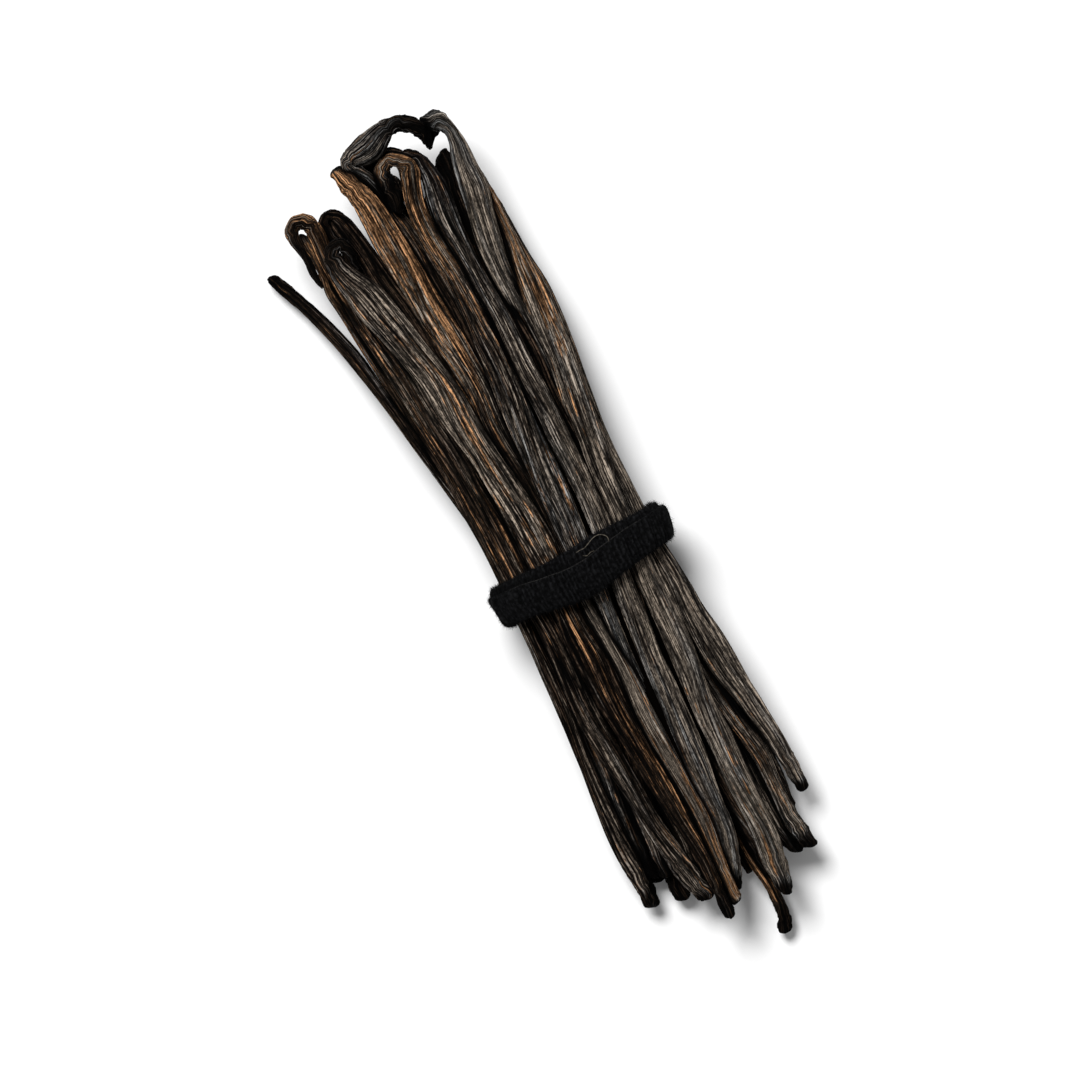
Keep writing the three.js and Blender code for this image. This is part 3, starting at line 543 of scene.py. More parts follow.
def wrinkled(course, angles, twist, rng, bend_rng, settings):
    """How far a pod's skin stands out over its plain form, and how high on a fold each place is."""
    along, near_end = course.along, course.near_end
    folds = fold_field(rng, along, angles, FOLD_COUNTS, 140, twist)
    creases = fold_field(rng, along, angles, CREASE_COUNTS, 110, twist)
    swell = FULLNESS - 2 * settings.fold_depth * (1 - folds)
    swell -= 2 * settings.crease_depth * (1 - creases)
    for count in (2, 3, 4, 5):
        swell += lobes(rng, along, angles, count, 0.05 * course.free / count, 50)
        swell += lobes(rng, along, angles, count, 0.13 * near_end / math.sqrt(count), 8, 1.5)
        swell += lobes(rng, along, angles, count + 1, 0.04 * near_end, 3.2, 2.5)
    for count in (1, 3):
        swell += lobes(bend_rng, along, angles, count, 0.05 * course.bend, 4, 2.5)
    return swell, 0.5 * folds + 0.5 * creases


def plain_form(course, angles, rng):
    """From a pod's line out to its flattened form, which rolls a little along its length."""
    flatness = 1 - (1 - POD_FLATNESS) * smoothstep(course.widths, 1.5, 4.5)
    roll = rng.uniform(-0.3, 0.3) + 0.25 * smooth_curve(rng, course.along, 90)
    roll = (roll * course.body)[:, None]
    side, rise = np.cos(angles)[None], flatness[:, None] * np.sin(angles)[None]
    side, rise = side * np.cos(roll) - rise * np.sin(roll), side * np.sin(roll) + rise * np.cos(roll)
    radius = course.widths[:, None] / 2
    sideways = course.across[:, None] * (side * radius)[..., None]
    return sideways + course.over[:, None] * (rise * radius)[..., None]


def cut_ends_aslant(skin, course, angles, rng):
    """Moves the skin near both ends along the pod, so that they are cut off at a slant."""
    ahead = np.cross(course.over, course.across)
    radius = course.widths[:, None] / 2
    for to_end in course.to_ends:
        slope, phase = rng.uniform(0.3, 0.8), rng.uniform(0, 2 * np.pi)
        reach = radius * (1 - smoothstep(to_end, 0.5, 3.5))[:, None]
        cut = slope * np.cos(angles[None] - phase) * reach
        skin += ahead[:, None] * cut[..., None]


def skin_shades(name, course, crest, gap):
    """The values over a pod that its material reads, painted shade between pods among them."""
    tones = SHOWN_TONES.get(name, Tones())
    clear = 1.0
    for to_end, black in zip(course.to_ends, tones.black):
        clear = clear * smoothstep(to_end, 0.3 * black, 1.2 * black)
    # Painted shade between pods: the skin's colour is darkened where another pod lies close. The black
    # ends, which are the skin's own colour, darken the same value.
    lit = smoothstep(resampled(gap, *crest.shape), *GAPS)
    shades = {"crest": crest, "open": lit * (0.4 + 0.6 * clear)[:, None]}
    # At the black ends a little blue-grey film stays. This is painted highlights on the black skin.
    for tone, when_black in (("rust", 0.0), ("film", 0.1), ("cool", 0.8)):
        level = np.interp(course.places[:, 1], TONE_PLACES, getattr(tones, tone)[::-1])
        shades[tone] = (when_black + (level - when_black) * clear)[:, None] + 0 * crest
    return shades


def pod_skin(name, columns, row_length, settings):
    """The skin of one pod as arrays of rows by columns: places, flow and shades."""
    rng = np.random.default_rng(sum(map(ord, name)) * 7919)
    bend_rng = np.random.default_rng(sum(map(ord, name)))
    course = PodCourse(name, row_length, rng)
    angles = np.linspace(0, 2 * np.pi, columns + 1)
    twist = (0.3 * course.bend + 0.12 * course.near_end) * smooth_curve(bend_rng, course.along, 5)
    swell, crest = wrinkled(course, angles, twist, rng, bend_rng, settings)
    middle = course.places[:, None]
    outward = plain_form(course, angles, rng)
    gap = gaps_to_neighbours(name, (middle + outward)[::GAP_STEPS[0], :-1:GAP_STEPS[1]])
    skin = middle + outward * swell[..., None]
    cut_ends_aslant(skin, course, angles, rng)
    skin[..., 2] = np.maximum(skin[..., 2], 0.0)
    turned = angles[None] + twist[:, None]
    flow = np.empty(skin.shape)
    flow[..., 0], flow[..., 1] = np.cos(turned), np.sin(turned)
    flow *= course.widths.max() / 2 * MM
    flow[..., 2] = (course.along * MM)[:, None]
    flow += rng.uniform(0, 1, 3)
    return (skin + OFFSET) * MM, flow, skin_shades(name, course, crest, gap)


# ---- Pieces ----

SHADES = ("crest", "open", "rust", "film", "cool")       # the values that the pods' material reads


def new_mesh(vector, values=()):
    """An empty bmesh with a map and the layers that its material reads."""
    mesh_in_work = bmesh.new()
    mesh_in_work.loops.layers.uv.new("OFBake")
    mesh_in_work.verts.layers.float_vector.new(vector)
    for name in values:
        mesh_in_work.verts.layers.float.new(name)
    return mesh_in_work


def add_rolled_grid(mesh_in_work, places, vector, values=(), strip=(0, 1)):
    """Rolls a flat grid up so that its edges meet, and closes it there.

    vector is (layer name, array), values a dict of such arrays, and strip says which of how many
    strips of the map is the grid's own.
    """
    rows, columns = places.shape[:2]
    uv_layer = mesh_in_work.loops.layers.uv.verify()
    vector_layer = mesh_in_work.verts.layers.float_vector.get(vector[0])
    value_layers = [(mesh_in_work.verts.layers.float.get(name), values[name]) for name in values]
    grid = bmesh.ops.create_grid(
        mesh_in_work, x_segments=columns - 1, y_segments=rows - 1, size=1, calc_uvs=True)
    verts = grid["verts"]
    which, of_all = strip
    for face in {face for vert in verts for face in vert.link_faces}:
        for loop in face.loops:
            u, v = loop[uv_layer].uv
            loop[uv_layer].uv = ((which + 0.005 + 0.99 * u) / of_all, v)
    for vert in verts:
        column = round((vert.co.x + 1) / 2 * (columns - 1))
        row = round((vert.co.y + 1) / 2 * (rows - 1))
        vert.co = places[row, column]
        vert[vector_layer] = vector[1][row, column]
        for layer, array in value_layers:
            vert[layer] = array[row, column]
    bmesh.ops.remove_doubles(mesh_in_work, verts=verts, dist=1e-7)


def add_pod(mesh_in_work, skin, flow, shades, strip=(0, 1)):
    """Adds a pod's skin to a mesh."""
    add_rolled_grid(mesh_in_work, skin, ("flow", flow), shades, strip)


def made_mesh(name, mesh_in_work):
    """The mesh that a bmesh ends as."""
    mesh = bpy.data.meshes.new(name)
    mesh_in_work.to_mesh(mesh)
    mesh_in_work.free()
    return mesh


def finish_piece(name, mesh_in_work, material, node):
    """Makes a smooth shown piece of a bmesh, in place of a CAD node."""
    bmesh.ops.recalc_face_normals(mesh_in_work, faces=mesh_in_work.faces)
    for face in mesh_in_work.faces:
        face.smooth = True
    place_piece(name, made_mesh(name, mesh_in_work), material, node)


def place_piece(name, mesh, material, node):
    """Shows a mesh as a piece that rides on the one body, in place of a CAD node."""
    piece = bpy.data.objects.new(name, mesh)
    mesh.materials.append(material)
    bpy.context.scene.collection.objects.link(piece)
    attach(piece, "root")
    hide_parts(node)


# ---- Materials ----

# Near-black colours of the bundle's inside: painted shade.
CORE_SHADE_COLOURS = ((0.0004, 0.0003, 0.0002), (0.0015, 0.001, 0.0007))
EDGE_HIGHLIGHT_AND_THREAD_COLOURS = ((0.022, 0.021, 0.02), (0.15, 0.13, 0.1))       # a painted highlight line along the seam, and loose thread


def new_material(name):
    """A material with a bare Principled shader: the material, its tree and the shader."""
    material = bpy.data.materials.new(name)
    material.use_nodes = True
    return material, material.node_tree, material.node_tree.nodes["Principled BSDF"]


def set_inputs(tree, node, values):
    """Sets or links a node's inputs by name or number."""
    for socket, value in dict(values).items():
        if isinstance(value, bpy.types.NodeSocket):
            tree.links.new(value, node.inputs[socket])
        else:
            node.inputs[socket].default_value = value


def add_node(tree, kind, values=(), **settings):
    """A shader node with its settings and inputs."""
    node = tree.nodes.new("ShaderNode" + kind)
    for name, value in settings.items():
        setattr(node, name, value)
    set_inputs(tree, node, values)
    return node


def finish_shader(tree, shader, colour, roughness, shine):
    """Gives a shader its colour, its roughness and the strength of its reflections."""
    set_inputs(tree, shader, {"Base Color": colour, "Roughness": roughness,
                              "Specular IOR Level": shine})


def add_bump(tree, shader, height, distance, strength=1.0):
    """Gives a shader fine relief."""
    bump = add_node(tree, "Bump", {"Strength": strength, "Distance": distance, "Height": height})
    set_inputs(tree, shader, {"Normal": bump.outputs["Normal"]})


def mixed(tree, factor, first, second):
    """A colour between two others."""
    return add_node(tree, "Mix", {0: factor, 6: first, 7: second}, data_type="RGBA").outputs[2]


def ramp(tree, value, low, high, to_low=0.0, to_high=1.0):
    """A value's range from low to high stretched smoothly to another."""
    node = add_node(tree, "MapRange", {"Value": value, "From Min": low, "From Max": high,
                                       "To Min": to_low, "To Max": to_high},
                    interpolation_type="SMOOTHSTEP")
    return node.outputs["Result"]


def calculated(tree, operation, first, second=0.0, third=0.0):
    """A sum, product or the like of values."""
    node = add_node(tree, "Math", {0: first, 1: second, 2: third}, operation=operation)
    return node.outputs[0]


def product(tree, first, *others):
    """Values times each other."""
    for value in others:
        first = calculated(tree, "MULTIPLY", first, value)
    return first


def total(tree, start, *terms):
    """A value plus others, each (value, weight)."""
    for value, weight in terms:
        start = calculated(tree, "MULTIPLY_ADD", value, weight, start)
    return start


def at_least(tree, value, floor, share):
    """A value, but never under a share of another."""
    return calculated(tree, "MAXIMUM", value, product(tree, floor, share))


def drawn_out(tree, flow, width, length):
    """The flow coordinates, counted in widths round the pod and in lengths along it, in metres."""
    scale = (1 / width, 1 / width, 1 / length)
    return add_node(tree, "Mapping", {"Vector": flow, "Scale": scale}).outputs[0]


def noise(tree, place, scale=1.0, detail=2.0, roughness=0.5):
    """The outputs of noise over a place."""
    inputs = {"Vector": place, "Scale": scale, "Detail": detail, "Roughness": roughness}
    return add_node(tree, "TexNoise", inputs).outputs


def streaks(tree, flow, width, length, detail=2.0, roughness=0.55):
    """Noise in streaks of that width and length, in metres, that run along a pod."""
    return noise(tree, drawn_out(tree, flow, width, length), 1.0, detail, roughness)["Fac"]


def opaque(colour):
    """A colour with full alpha."""
    return (*colour, 1.0)


def thin_lines(tree, value, width):
    """0 on the winding lines where a noise crosses its middle and 1 away from them."""
    away = calculated(tree, "ABSOLUTE", calculated(tree, "SUBTRACT", value, 0.5))
    return ramp(tree, away, 0.0, width)


def strands(tree, flow, width, length):
    """Long cells along a pod: how far inside one a place is, and three random values of its own."""
    inputs = {"Vector": drawn_out(tree, flow, width, length), "Scale": 1.0}
    edge = add_node(tree, "TexVoronoi", inputs, feature="DISTANCE_TO_EDGE")
    cell = add_node(tree, "TexVoronoi", inputs, feature="F1")
    values = add_node(tree, "SeparateColor", {0: cell.outputs["Color"]})
    return edge.outputs["Distance"], *values.outputs


def wandering(tree, flow, amount):
    """The flow coordinates, shifted a little to and fro round the pod."""
    colour = noise(tree, drawn_out(tree, flow, 1 / 300, 1 / 45), detail=1.0)["Color"]
    shift = add_node(tree, "VectorMath", {0: colour, 1: (0.5, 0.5, 0.5)}, operation="SUBTRACT")
    moved = add_node(tree, "VectorMath", {0: shift.outputs[0], 1: (amount, amount, 0.0), 2: flow},
                     operation="MULTIPLY_ADD")
    return moved.outputs[0]


def pod_material(settings):
    """Dark wrinkled skin in long strands, with rust-brown streaks, a dry grey film that carries painted
    sheen, and painted shade in its folds and between pods.
    """
    material, tree, shader = new_material("pod_skin")
    flow = add_node(tree, "Attribute", attribute_name="flow").outputs["Vector"]
    crest, gap_shade_and_dark_ends, rust, film, cool = (
        add_node(tree, "Attribute", attribute_name=name).outputs["Fac"] for name in SHADES)
    wavy = wandering(tree, flow, 0.9 * MM)
    edge, first, second, third = strands(tree, wavy, 1.1 * MM, 40 * MM)
    fine_edge, fine_first, fine_second, fine_third = strands(tree, wavy, 0.5 * MM, 22 * MM)
    hairs = streaks(tree, wavy, 0.26 * MM, 8 * MM, detail=1.0)
    flecks = streaks(tree, wavy, 0.36 * MM, 9 * MM, detail=3.0, roughness=0.6)
    patches = streaks(tree, flow, 2.4 * MM, 20 * MM, detail=3.0)
    blots = streaks(tree, flow, 0.45 * MM, 4 * MM, detail=3.0)
    cracks = thin_lines(tree, streaks(tree, flow, 1.0 * MM, 0.7 * MM, detail=2.0), 0.03)
    grain = streaks(tree, wavy, 0.26 * MM, 1.2 * MM, detail=2.0, roughness=0.65)

    # Filmed and rusty skin, with its painted sheen, is more even than dark skin, so its darkening has a
    # floor.
    film_sheen_and_rust = calculated(tree, "MAXIMUM", film, product(tree, rust, 0.7))
    film_sheen_and_rust = calculated(tree, "MINIMUM", film_sheen_and_rust, 1.2)
    # The groove value darkens the lines between the skin's strands, which are also the bump's hollows.
    # These lines are partly the skin's own dark lines and partly painted shade in those hollows.
    groove = product(tree, at_least(tree, ramp(tree, edge, 0.03, 0.15, 0.02, 1.0), film_sheen_and_rust, 0.3),
                     at_least(tree, ramp(tree, fine_edge, 0.03, 0.19, 0.12, 1.0), film_sheen_and_rust, 0.2),
                     at_least(tree, ramp(tree, hairs, 0.4, 0.54, 0.2, 1.0), film_sheen_and_rust, 0.3))
    evenness = total(tree, product(tree, film_sheen_and_rust, 0.6), (third, 0.35), (fine_third, 0.4))
    # Painted shade: the gap value darkens skin near other pods, and the crest value darkens the fold
    # valleys.
    shade = product(tree, groove, ramp(tree, gap_shade_and_dark_ends, 0.0, 1.0, 0.006, 1.0),
                    at_least(tree, ramp(tree, crest, 0.05, 0.4, 0.25, 1.0), film_sheen_and_rust, 0.8),
                    ramp(tree, evenness, 0.1, 0.75, 0.4, 1.0),
                    at_least(tree, ramp(tree, grain, 0.4, 0.56, 0.2, 1.0), film_sheen_and_rust, 0.3),
                    at_least(tree, ramp(tree, flecks, 0.34, 0.56, 0.2, 1.0), film_sheen_and_rust, 0.55),
                    ramp(tree, cracks, 0.0, 1.0, 0.6, 1.0))
    # Everything is brightened, and the grain's brightest specks a little more, as painted highlights.
    shade = product(tree, calculated(tree, "POWER", shade, 1.1), ramp(tree, grain, 0.54, 0.7, 1.5, 1.7))
    shade = calculated(tree, "SMOOTH_MIN", shade, 0.72, 0.5)

    film_and_sheen_level = total(tree, film, (first, 0.3), (fine_first, 0.3), (patches, 0.6), (flecks, 0.7))
    cool_level = total(tree, cool, (second, 0.6), (patches, 0.8))
    rust_level = total(tree, rust, (second, 0.5), (fine_second, 0.7), (patches, -0.9), (blots, 1.6))
    # Painted shade in the folds: the colour runs from the dark in a fold's valley to the brown on its
    # crest.
    painted_fold_shading = calculated(tree, "MULTIPLY_ADD", crest, 0.75, 0.15)
    colour = mixed(tree, painted_fold_shading, opaque(settings.dark), opaque(settings.brown))
    film_and_sheen_colour = mixed(tree, ramp(tree, cool_level, 0.8, 1.5), opaque(settings.film),
                        opaque(settings.cool_film_and_sheen))
    colour = mixed(tree, ramp(tree, film_and_sheen_level, 1.1, 1.6), colour, film_and_sheen_colour)
    colour = mixed(tree, ramp(tree, rust_level, 1.6, 1.85), colour, opaque(settings.rust))
    colour = add_node(tree, "VectorMath", {0: colour, "Scale": shade}, operation="SCALE").outputs[0]

    finish_shader(tree, shader, colour, ramp(tree, groove, 0.0, 1.0, 0.8, 0.5), 0.03)
    height = total(tree, groove, (grain, 0.6), (cracks, 0.15))
    add_bump(tree, shader, height, 0.13 * MM)
    return material


def core_material():
    """The inside of the bundle, painted near-black as shade."""
    material, tree, shader = new_material("bundle_inside")
    place = add_node(tree, "TexCoord").outputs["Object"]
    mapping = add_node(tree, "Mapping", {"Vector": place, "Scale": (900, 60, 900)})
    share = noise(tree, mapping.outputs[0])["Fac"]
    finish_shader(tree, shader, mixed(tree, share, *map(opaque, CORE_SHADE_COLOURS)), 0.9, 0.01)
    return material


def cloth_material(name, colour, light):
    """Brushed black cloth with an uneven nap, with painted shade between its ribs and a painted shadow
    line beside the seam.
    """
    material, tree, shader = new_material(name)
    weave = add_node(tree, "Attribute", attribute_name="weave").outputs["Vector"]
    rib_shade = add_node(tree, "SeparateXYZ", {0: weave}).outputs[2]
    place = add_node(tree, "TexCoord").outputs["Object"]
    lint = noise(tree, place, 1300.0, detail=4.0, roughness=0.65)["Fac"]
    share = product(tree, ramp(tree, rib_shade, 0.0, 1.0, 0.2, 1.0), ramp(tree, lint, 0.4, 0.66))
    finish_shader(tree, shader, mixed(tree, share, opaque(colour), opaque(light)), 0.9, 0.04)
    add_bump(tree, shader, lint, 0.25 * MM, 0.8)
    return material


def thread_and_highlight_material():
    """Dark grey for the painted highlight line along the seam, and pale spun thread where it is loose.
    """
    material, tree, shader = new_material("thread")
    tone = add_node(tree, "Attribute", attribute_name="tone").outputs["Fac"]
    place = add_node(tree, "TexCoord").outputs["Object"]
    plies = ramp(tree, noise(tree, place, 2500.0)["Fac"], 0.35, 0.6, 0.35, 1.0)
    colour = mixed(tree, tone, *map(opaque, EDGE_HIGHLIGHT_AND_THREAD_COLOURS))
    colour = mixed(tree, plies, (0.0, 0.0, 0.0, 1.0), colour)
    finish_shader(tree, shader, colour, 0.8, 0.1)
    return material


# ---- The band ----

BAND_GAP = 0.35          # between the ribbon and the pods, in millimetres
WAIST_REACH = 6.5         # how far along the bundle pods count for the line round the waist
WAIST_ANGLES = 1440      # directions in which that line is sought
WAIST_PASSES = 18        # of smoothing it
BAND_SAMPLES = 640
BAND_SIDES = 36
BAND_ROUNDNESS = 0.75    # exponent of the ribbon's section: 1 is an ellipse, 0 a box
PUFF_WAVES = (31, 47, 61, 83, 101)       # uneven swells, by how often they come round the band
PUFF_HEIGHT = 0.045
RIB_PITCH = 0.84         # of the ribs that run across the ribbon, in millimetres
RIB_HEIGHT = 0.3
RIB_WAVER = 1.1          # how far they wander, in radians of their pitch
SEAM_SIDE = 8            # which side of the front turn is its upper edge
SHADOW_WIDTH = 1.1       # of the dark line on the back turn over the seam, in millimetres
SEAM_FROM, SEAM_TO = -17, 15.5           # where the painted highlight line along the seam's edge shows, over x
SEAM_HIGHLIGHT_RADIUS = 0.11       # radius of the painted highlight line along the seam
LOOSE_THREAD = 0.07      # and of loose threads
LOOSE_TONE = 0.8         # how pale a loose thread is
LOOSE_HEIGHT = 0.35      # how high it lies over the ribbon
LOOSE_THREADS = (        # places (x, y) along each loose thread on the band
    ((-0.6, 3), (0.4, 3.1), (1.4, 3.1), (2.6, 3.6), (3.8, 4.1), (5, 4.2), (6, 3.7), (6.5, 2.9),
     (6.3, 1.9)),
    ((0.4, 1.9), (1.2, 1.5), (2.2, 1.8), (3, 1.7)),
)
NAP_RADIUS = 0.03        # of a raised fibre's foot
NAP_ROOT = 0.05          # how deep the foot is in the ribbon
NAP_LEAN = 0.8           # how far fibres lean at random, over their length
SEAM_NAP = 0.4           # how long fibres are at the seam, over the others
SEAM_NAP_EDGE = 1.2      # up to where they are short on the back turn, from its middle


@dataclass(frozen=True)
class BandTurn:
    """Where a turn of the band lies, in millimetres along the bundle."""

    middle: float
    sway: float      # how far it is drawn back at the top
    slant: float     # how much further along it is on the right
    lift: float      # how far it stands off the pods, as it lies over the other turn


BACK_TURN = BandTurn(0.95, 0.1, 0.4, 0.0)
FRONT_TURN = BandTurn(-1.35, 1.2, 0.5, 1.2)
BAND_TURNS = (BACK_TURN, FRONT_TURN)


def waist_line():
    """The tight line round the pods at the band, seen along the bundle, and its outward normals."""
    circles = []
    for places, widths in LINES.values():
        close = np.abs(places[:, 1]) < WAIST_REACH
        circles.append(np.column_stack([places[close][:, [0, 2]], widths[close] / 2]))
    x, z, radius = np.concatenate(circles).T
    angles = np.linspace(0, 2 * np.pi, WAIST_ANGLES, endpoint=False)[:, None]
    nx, nz = np.cos(angles), np.sin(angles)
    support = np.hypot(radius * nx, POD_FLATNESS * radius * nz)
    best = np.argmax(x * nx + z * nz + support, axis=1)[:, None]
    x, z, radius, support = x[best], z[best], radius[best], np.take_along_axis(support, best, 1)
    line = np.hstack([x + radius**2 * nx / support, z + (POD_FLATNESS * radius) ** 2 * nz / support])
    line += BAND_GAP * np.hstack([nx, nz])
    closed = np.vstack([line, line[:1]])
    at = distances(closed)
    even = np.linspace(0, at[-1], BAND_SAMPLES, endpoint=False)
    line = np.column_stack([np.interp(even, at, closed[:, axis]) for axis in (0, 1)])
    for _ in range(WAIST_PASSES):
        line = (np.roll(line, 1, axis=0) + 2 * line + np.roll(line, -1, axis=0)) / 4
    ahead = np.roll(line, -1, axis=0) - np.roll(line, 1, axis=0)
    normals = np.column_stack([ahead[:, 1], -ahead[:, 0]])
    return line, unit_vectors(normals), even


def rounded(wave):
    """A sine or cosine round the ribbon's section, for a section between an ellipse and a box."""
    return np.sign(wave) * np.abs(wave) ** BAND_ROUNDNESS


def ribbon_surface(turn, rng, settings):
    """One turn of the ribbon: places by samples and sides, and how far round and across they are."""
    full_width, thickness = settings.width / MM, settings.thickness / MM
    line, normals, round_at = waist_line()
    share = round_at / round_at[-1]
    from_top = np.arctan2(line[:, 1] - WAIST_Z, line[:, 0] - WAIST_X) - np.pi / 2
    sides = (np.arange(BAND_SIDES) + 0.5) * 2 * np.pi / BAND_SIDES
    across, outward = rounded(np.sin(sides)), rounded(np.cos(sides))
    facing = np.maximum(outward + 0.3, 0)
    width = full_width * (1 + 0.025 * np.sin(2 * np.pi * (3 * share + rng.uniform())))
    puff = np.zeros((BAND_SAMPLES, BAND_SIDES))
    for times in PUFF_WAVES:
        for waves in (1, 2, 3):
            phase = 2 * np.pi * (times * share[:, None] + rng.uniform()) + waves * sides[None]
            puff += PUFF_HEIGHT * np.cos(phase)
    centre = turn.middle - turn.sway * np.cos(2 * from_top) - turn.slant * np.sin(from_top)
    centre += 0.12 * np.sin(2 * np.pi * (5 * share + rng.uniform()))
    ribs = 2 * np.pi * (round_at / RIB_PITCH)[:, None]
    ribs = ribs + 0.7 * np.sin(across * 4 + rng.uniform(0, 6))[None]
    ribs = ribs + RIB_WAVER * smooth_curve(rng, round_at, 7)[:, None]
    ribs = RIB_HEIGHT * (np.abs(np.cos(ribs / 2)) - 1)
    lift = turn.lift * (0.55 + 0.45 * across[None])
    offset = lift + thickness / 2 * (1 + outward[None]) + (puff + ribs) * facing
    surface = np.empty((BAND_SAMPLES, BAND_SIDES, 3))
    surface[..., 0] = line[:, 0, None] + normals[:, 0, None] * offset
    surface[..., 1] = centre[:, None] + (width[:, None] / 2 + ribs / 2) * across[None]
    surface[..., 2] = np.maximum(line[:, 1, None] + normals[:, 1, None] * offset, 0)
    seam = FRONT_TURN.middle + full_width / 2 - FRONT_TURN.sway * np.cos(2 * from_top)
    shadow = 1.0 if turn.lift else smoothstep(surface[..., 1] - seam[:, None], 0.0, SHADOW_WIDTH)
    weave = np.empty(surface.shape)
    weave[..., 0] = round_at[:, None] * MM
    weave[..., 1] = across[None] * width[:, None] / 2 * MM
    # Painted shade: darker in the hollows between the ribs, with a painted shadow line on the back turn
    # beside the front turn's edge.
    weave[..., 2] = (ribs / RIB_HEIGHT + 1) * shadow
    return (surface + OFFSET) * MM, weave


def add_ribbon(mesh_in_work, surface, weave, strip):
    """Adds a closed ring of ribbon to a mesh."""
    surface, weave = (np.pad(grid, ((0, 1), (0, 1), (0, 0)), mode="wrap") for grid in (surface, weave))
    add_rolled_grid(mesh_in_work, surface, ("weave", weave), strip=strip)


def add_thin_strand(mesh_in_work, places, radius, tone, strip):
    """A thin round strand through places, in millimetres from the band's middle, with pointed ends: a
    loose thread, or the painted highlight line along the seam.
    """
    line = spline(places, 6)
    thick = radius * np.sin(np.linspace(0, np.pi, len(line))) ** 0.25
    angles = np.linspace(0, 2 * np.pi, 8)[None, :, None]
    across, over = (direction[:, None] for direction in line_frames(line))
    ring = across * np.cos(angles) + over * np.sin(angles)
    skin = (line[:, None] + ring * thick[:, None, None] + OFFSET) * MM
    add_rolled_grid(mesh_in_work, skin, ("flow", skin), {"tone": np.full(skin.shape[:2], tone)}, strip)


def thread_and_highlight_mesh(surfaces):
    """The painted highlight line along the front turn's seam edge, and each loose thread that lies on
    the band.
    """
    mesh_in_work = new_mesh("flow", ("tone",))
    of_all = len(LOOSE_THREADS) + 1
    # A painted highlight line along the front turn's upper edge.
    edge = surfaces[1][:, SEAM_SIDE] / MM - OFFSET
    shown = (edge[:, 2] > WAIST_Z) & (edge[:, 0] > SEAM_FROM) & (edge[:, 0] < SEAM_TO)
    edge = edge[shown][::6]
    add_thin_strand(mesh_in_work, edge[np.argsort(edge[:, 0])], SEAM_HIGHLIGHT_RADIUS, 0.0, (0, of_all))
    band = np.concatenate(surfaces).reshape(-1, 3) / MM - OFFSET
    for which, thread in enumerate(LOOSE_THREADS, 1):
        places = []
        for place in thread:
            near = np.hypot(*(band[:, :2] - place).T) < 0.8
            places.append((*place, band[near, 2].max() + LOOSE_HEIGHT))
        add_thin_strand(mesh_in_work, np.array(places), LOOSE_THREAD, LOOSE_TONE, (which, of_all))
    return mesh_in_work


def upright_fibres(count):
    """A mesh of slim cones of three sides, one unit high and in radius, all on the origin."""
    mesh_in_work = bmesh.new()
    bmesh.ops.create_cone(mesh_in_work, cap_ends=True, segments=3, radius1=1, radius2=0, depth=1)
    bmesh.ops.translate(mesh_in_work, vec=(0, 0, 0.5), verts=mesh_in_work.verts)
    fibre = made_mesh("fibre", mesh_in_work)
    carrier = bpy.data.objects.new("fibre", fibre)
    bpy.context.scene.collection.objects.link(carrier)
    array = carrier.modifiers.new("copies", "ARRAY")
    array.use_relative_offset = False
    array.count = count
    depsgraph = bpy.context.evaluated_depsgraph_get()
    mesh = bpy.data.meshes.new_from_object(carrier.evaluated_get(depsgraph))
    bpy.data.objects.remove(carrier)
    bpy.data.meshes.remove(fibre)
    mesh.name = "band_nap"
    return mesh


def nap_mesh(surfaces, weaves, rng, settings):
    """Raised fibres: slim closed spikes rooted all over the ribbon, leaning at random."""
    count = settings.nap_fibres
    turn = rng.integers(0, len(surfaces), count)
    sample = rng.integers(0, BAND_SAMPLES, count)
    side = rng.integers(0, BAND_SIDES, count)
    share_round = rng.uniform(0, 1, (count, 1))
    share_side = rng.uniform(0, 1, (count, 1))
    stacked = np.stack(surfaces)
    woven = np.stack(weaves)[turn, sample, side]
    base = stacked[turn, sample, side]
    ahead = stacked[turn, (sample + 1) % BAND_SAMPLES, side] - base
    beside = stacked[turn, sample, (side + 1) % BAND_SIDES] - base
    root = base + share_round * ahead + share_side * beside
    normal = unit_vectors(np.cross(beside, ahead))
    centre = stacked.mean(axis=2)[turn, sample]
    normal *= np.sign(np.sum(normal * (root - centre), axis=1, keepdims=True))
    direction = unit_vectors(normal + rng.normal(0, NAP_LEAN, (count, 3)))
    length = settings.nap_length * rng.uniform(0.5, 1.5, (count, 1))
    over_seam = np.where(turn == BAND_TURNS.index(FRONT_TURN), np.abs(side - SEAM_SIDE) < 2,
                         woven[:, 1] < SEAM_NAP_EDGE * MM)
    length[over_seam] *= SEAM_NAP
    side_way = unit_vectors(np.cross(direction, rng.normal(size=(count, 3))))
    other_way = np.cross(direction, side_way)
    root = root - normal * NAP_ROOT * MM

    mesh = upright_fibres(count)
    upright = np.empty(3 * len(mesh.vertices))
    mesh.vertices.foreach_get("co", upright)
    y, x, z = (upright.reshape(count, -1, 3)[..., axis, None] for axis in (0, 1, 2))
    foot = x * side_way[:, None] - y * other_way[:, None]
    places = root[:, None] + NAP_RADIUS * MM * foot + z * (length * direction)[:, None]
    mesh.vertices.foreach_set("co", places.ravel())
    attribute = mesh.attributes.new("weave", "FLOAT_VECTOR", "POINT")
    attribute.data.foreach_set("vector", np.repeat(woven, places.shape[1], axis=0).ravel())
    mesh.update()
    return mesh


# ---- Operators ----

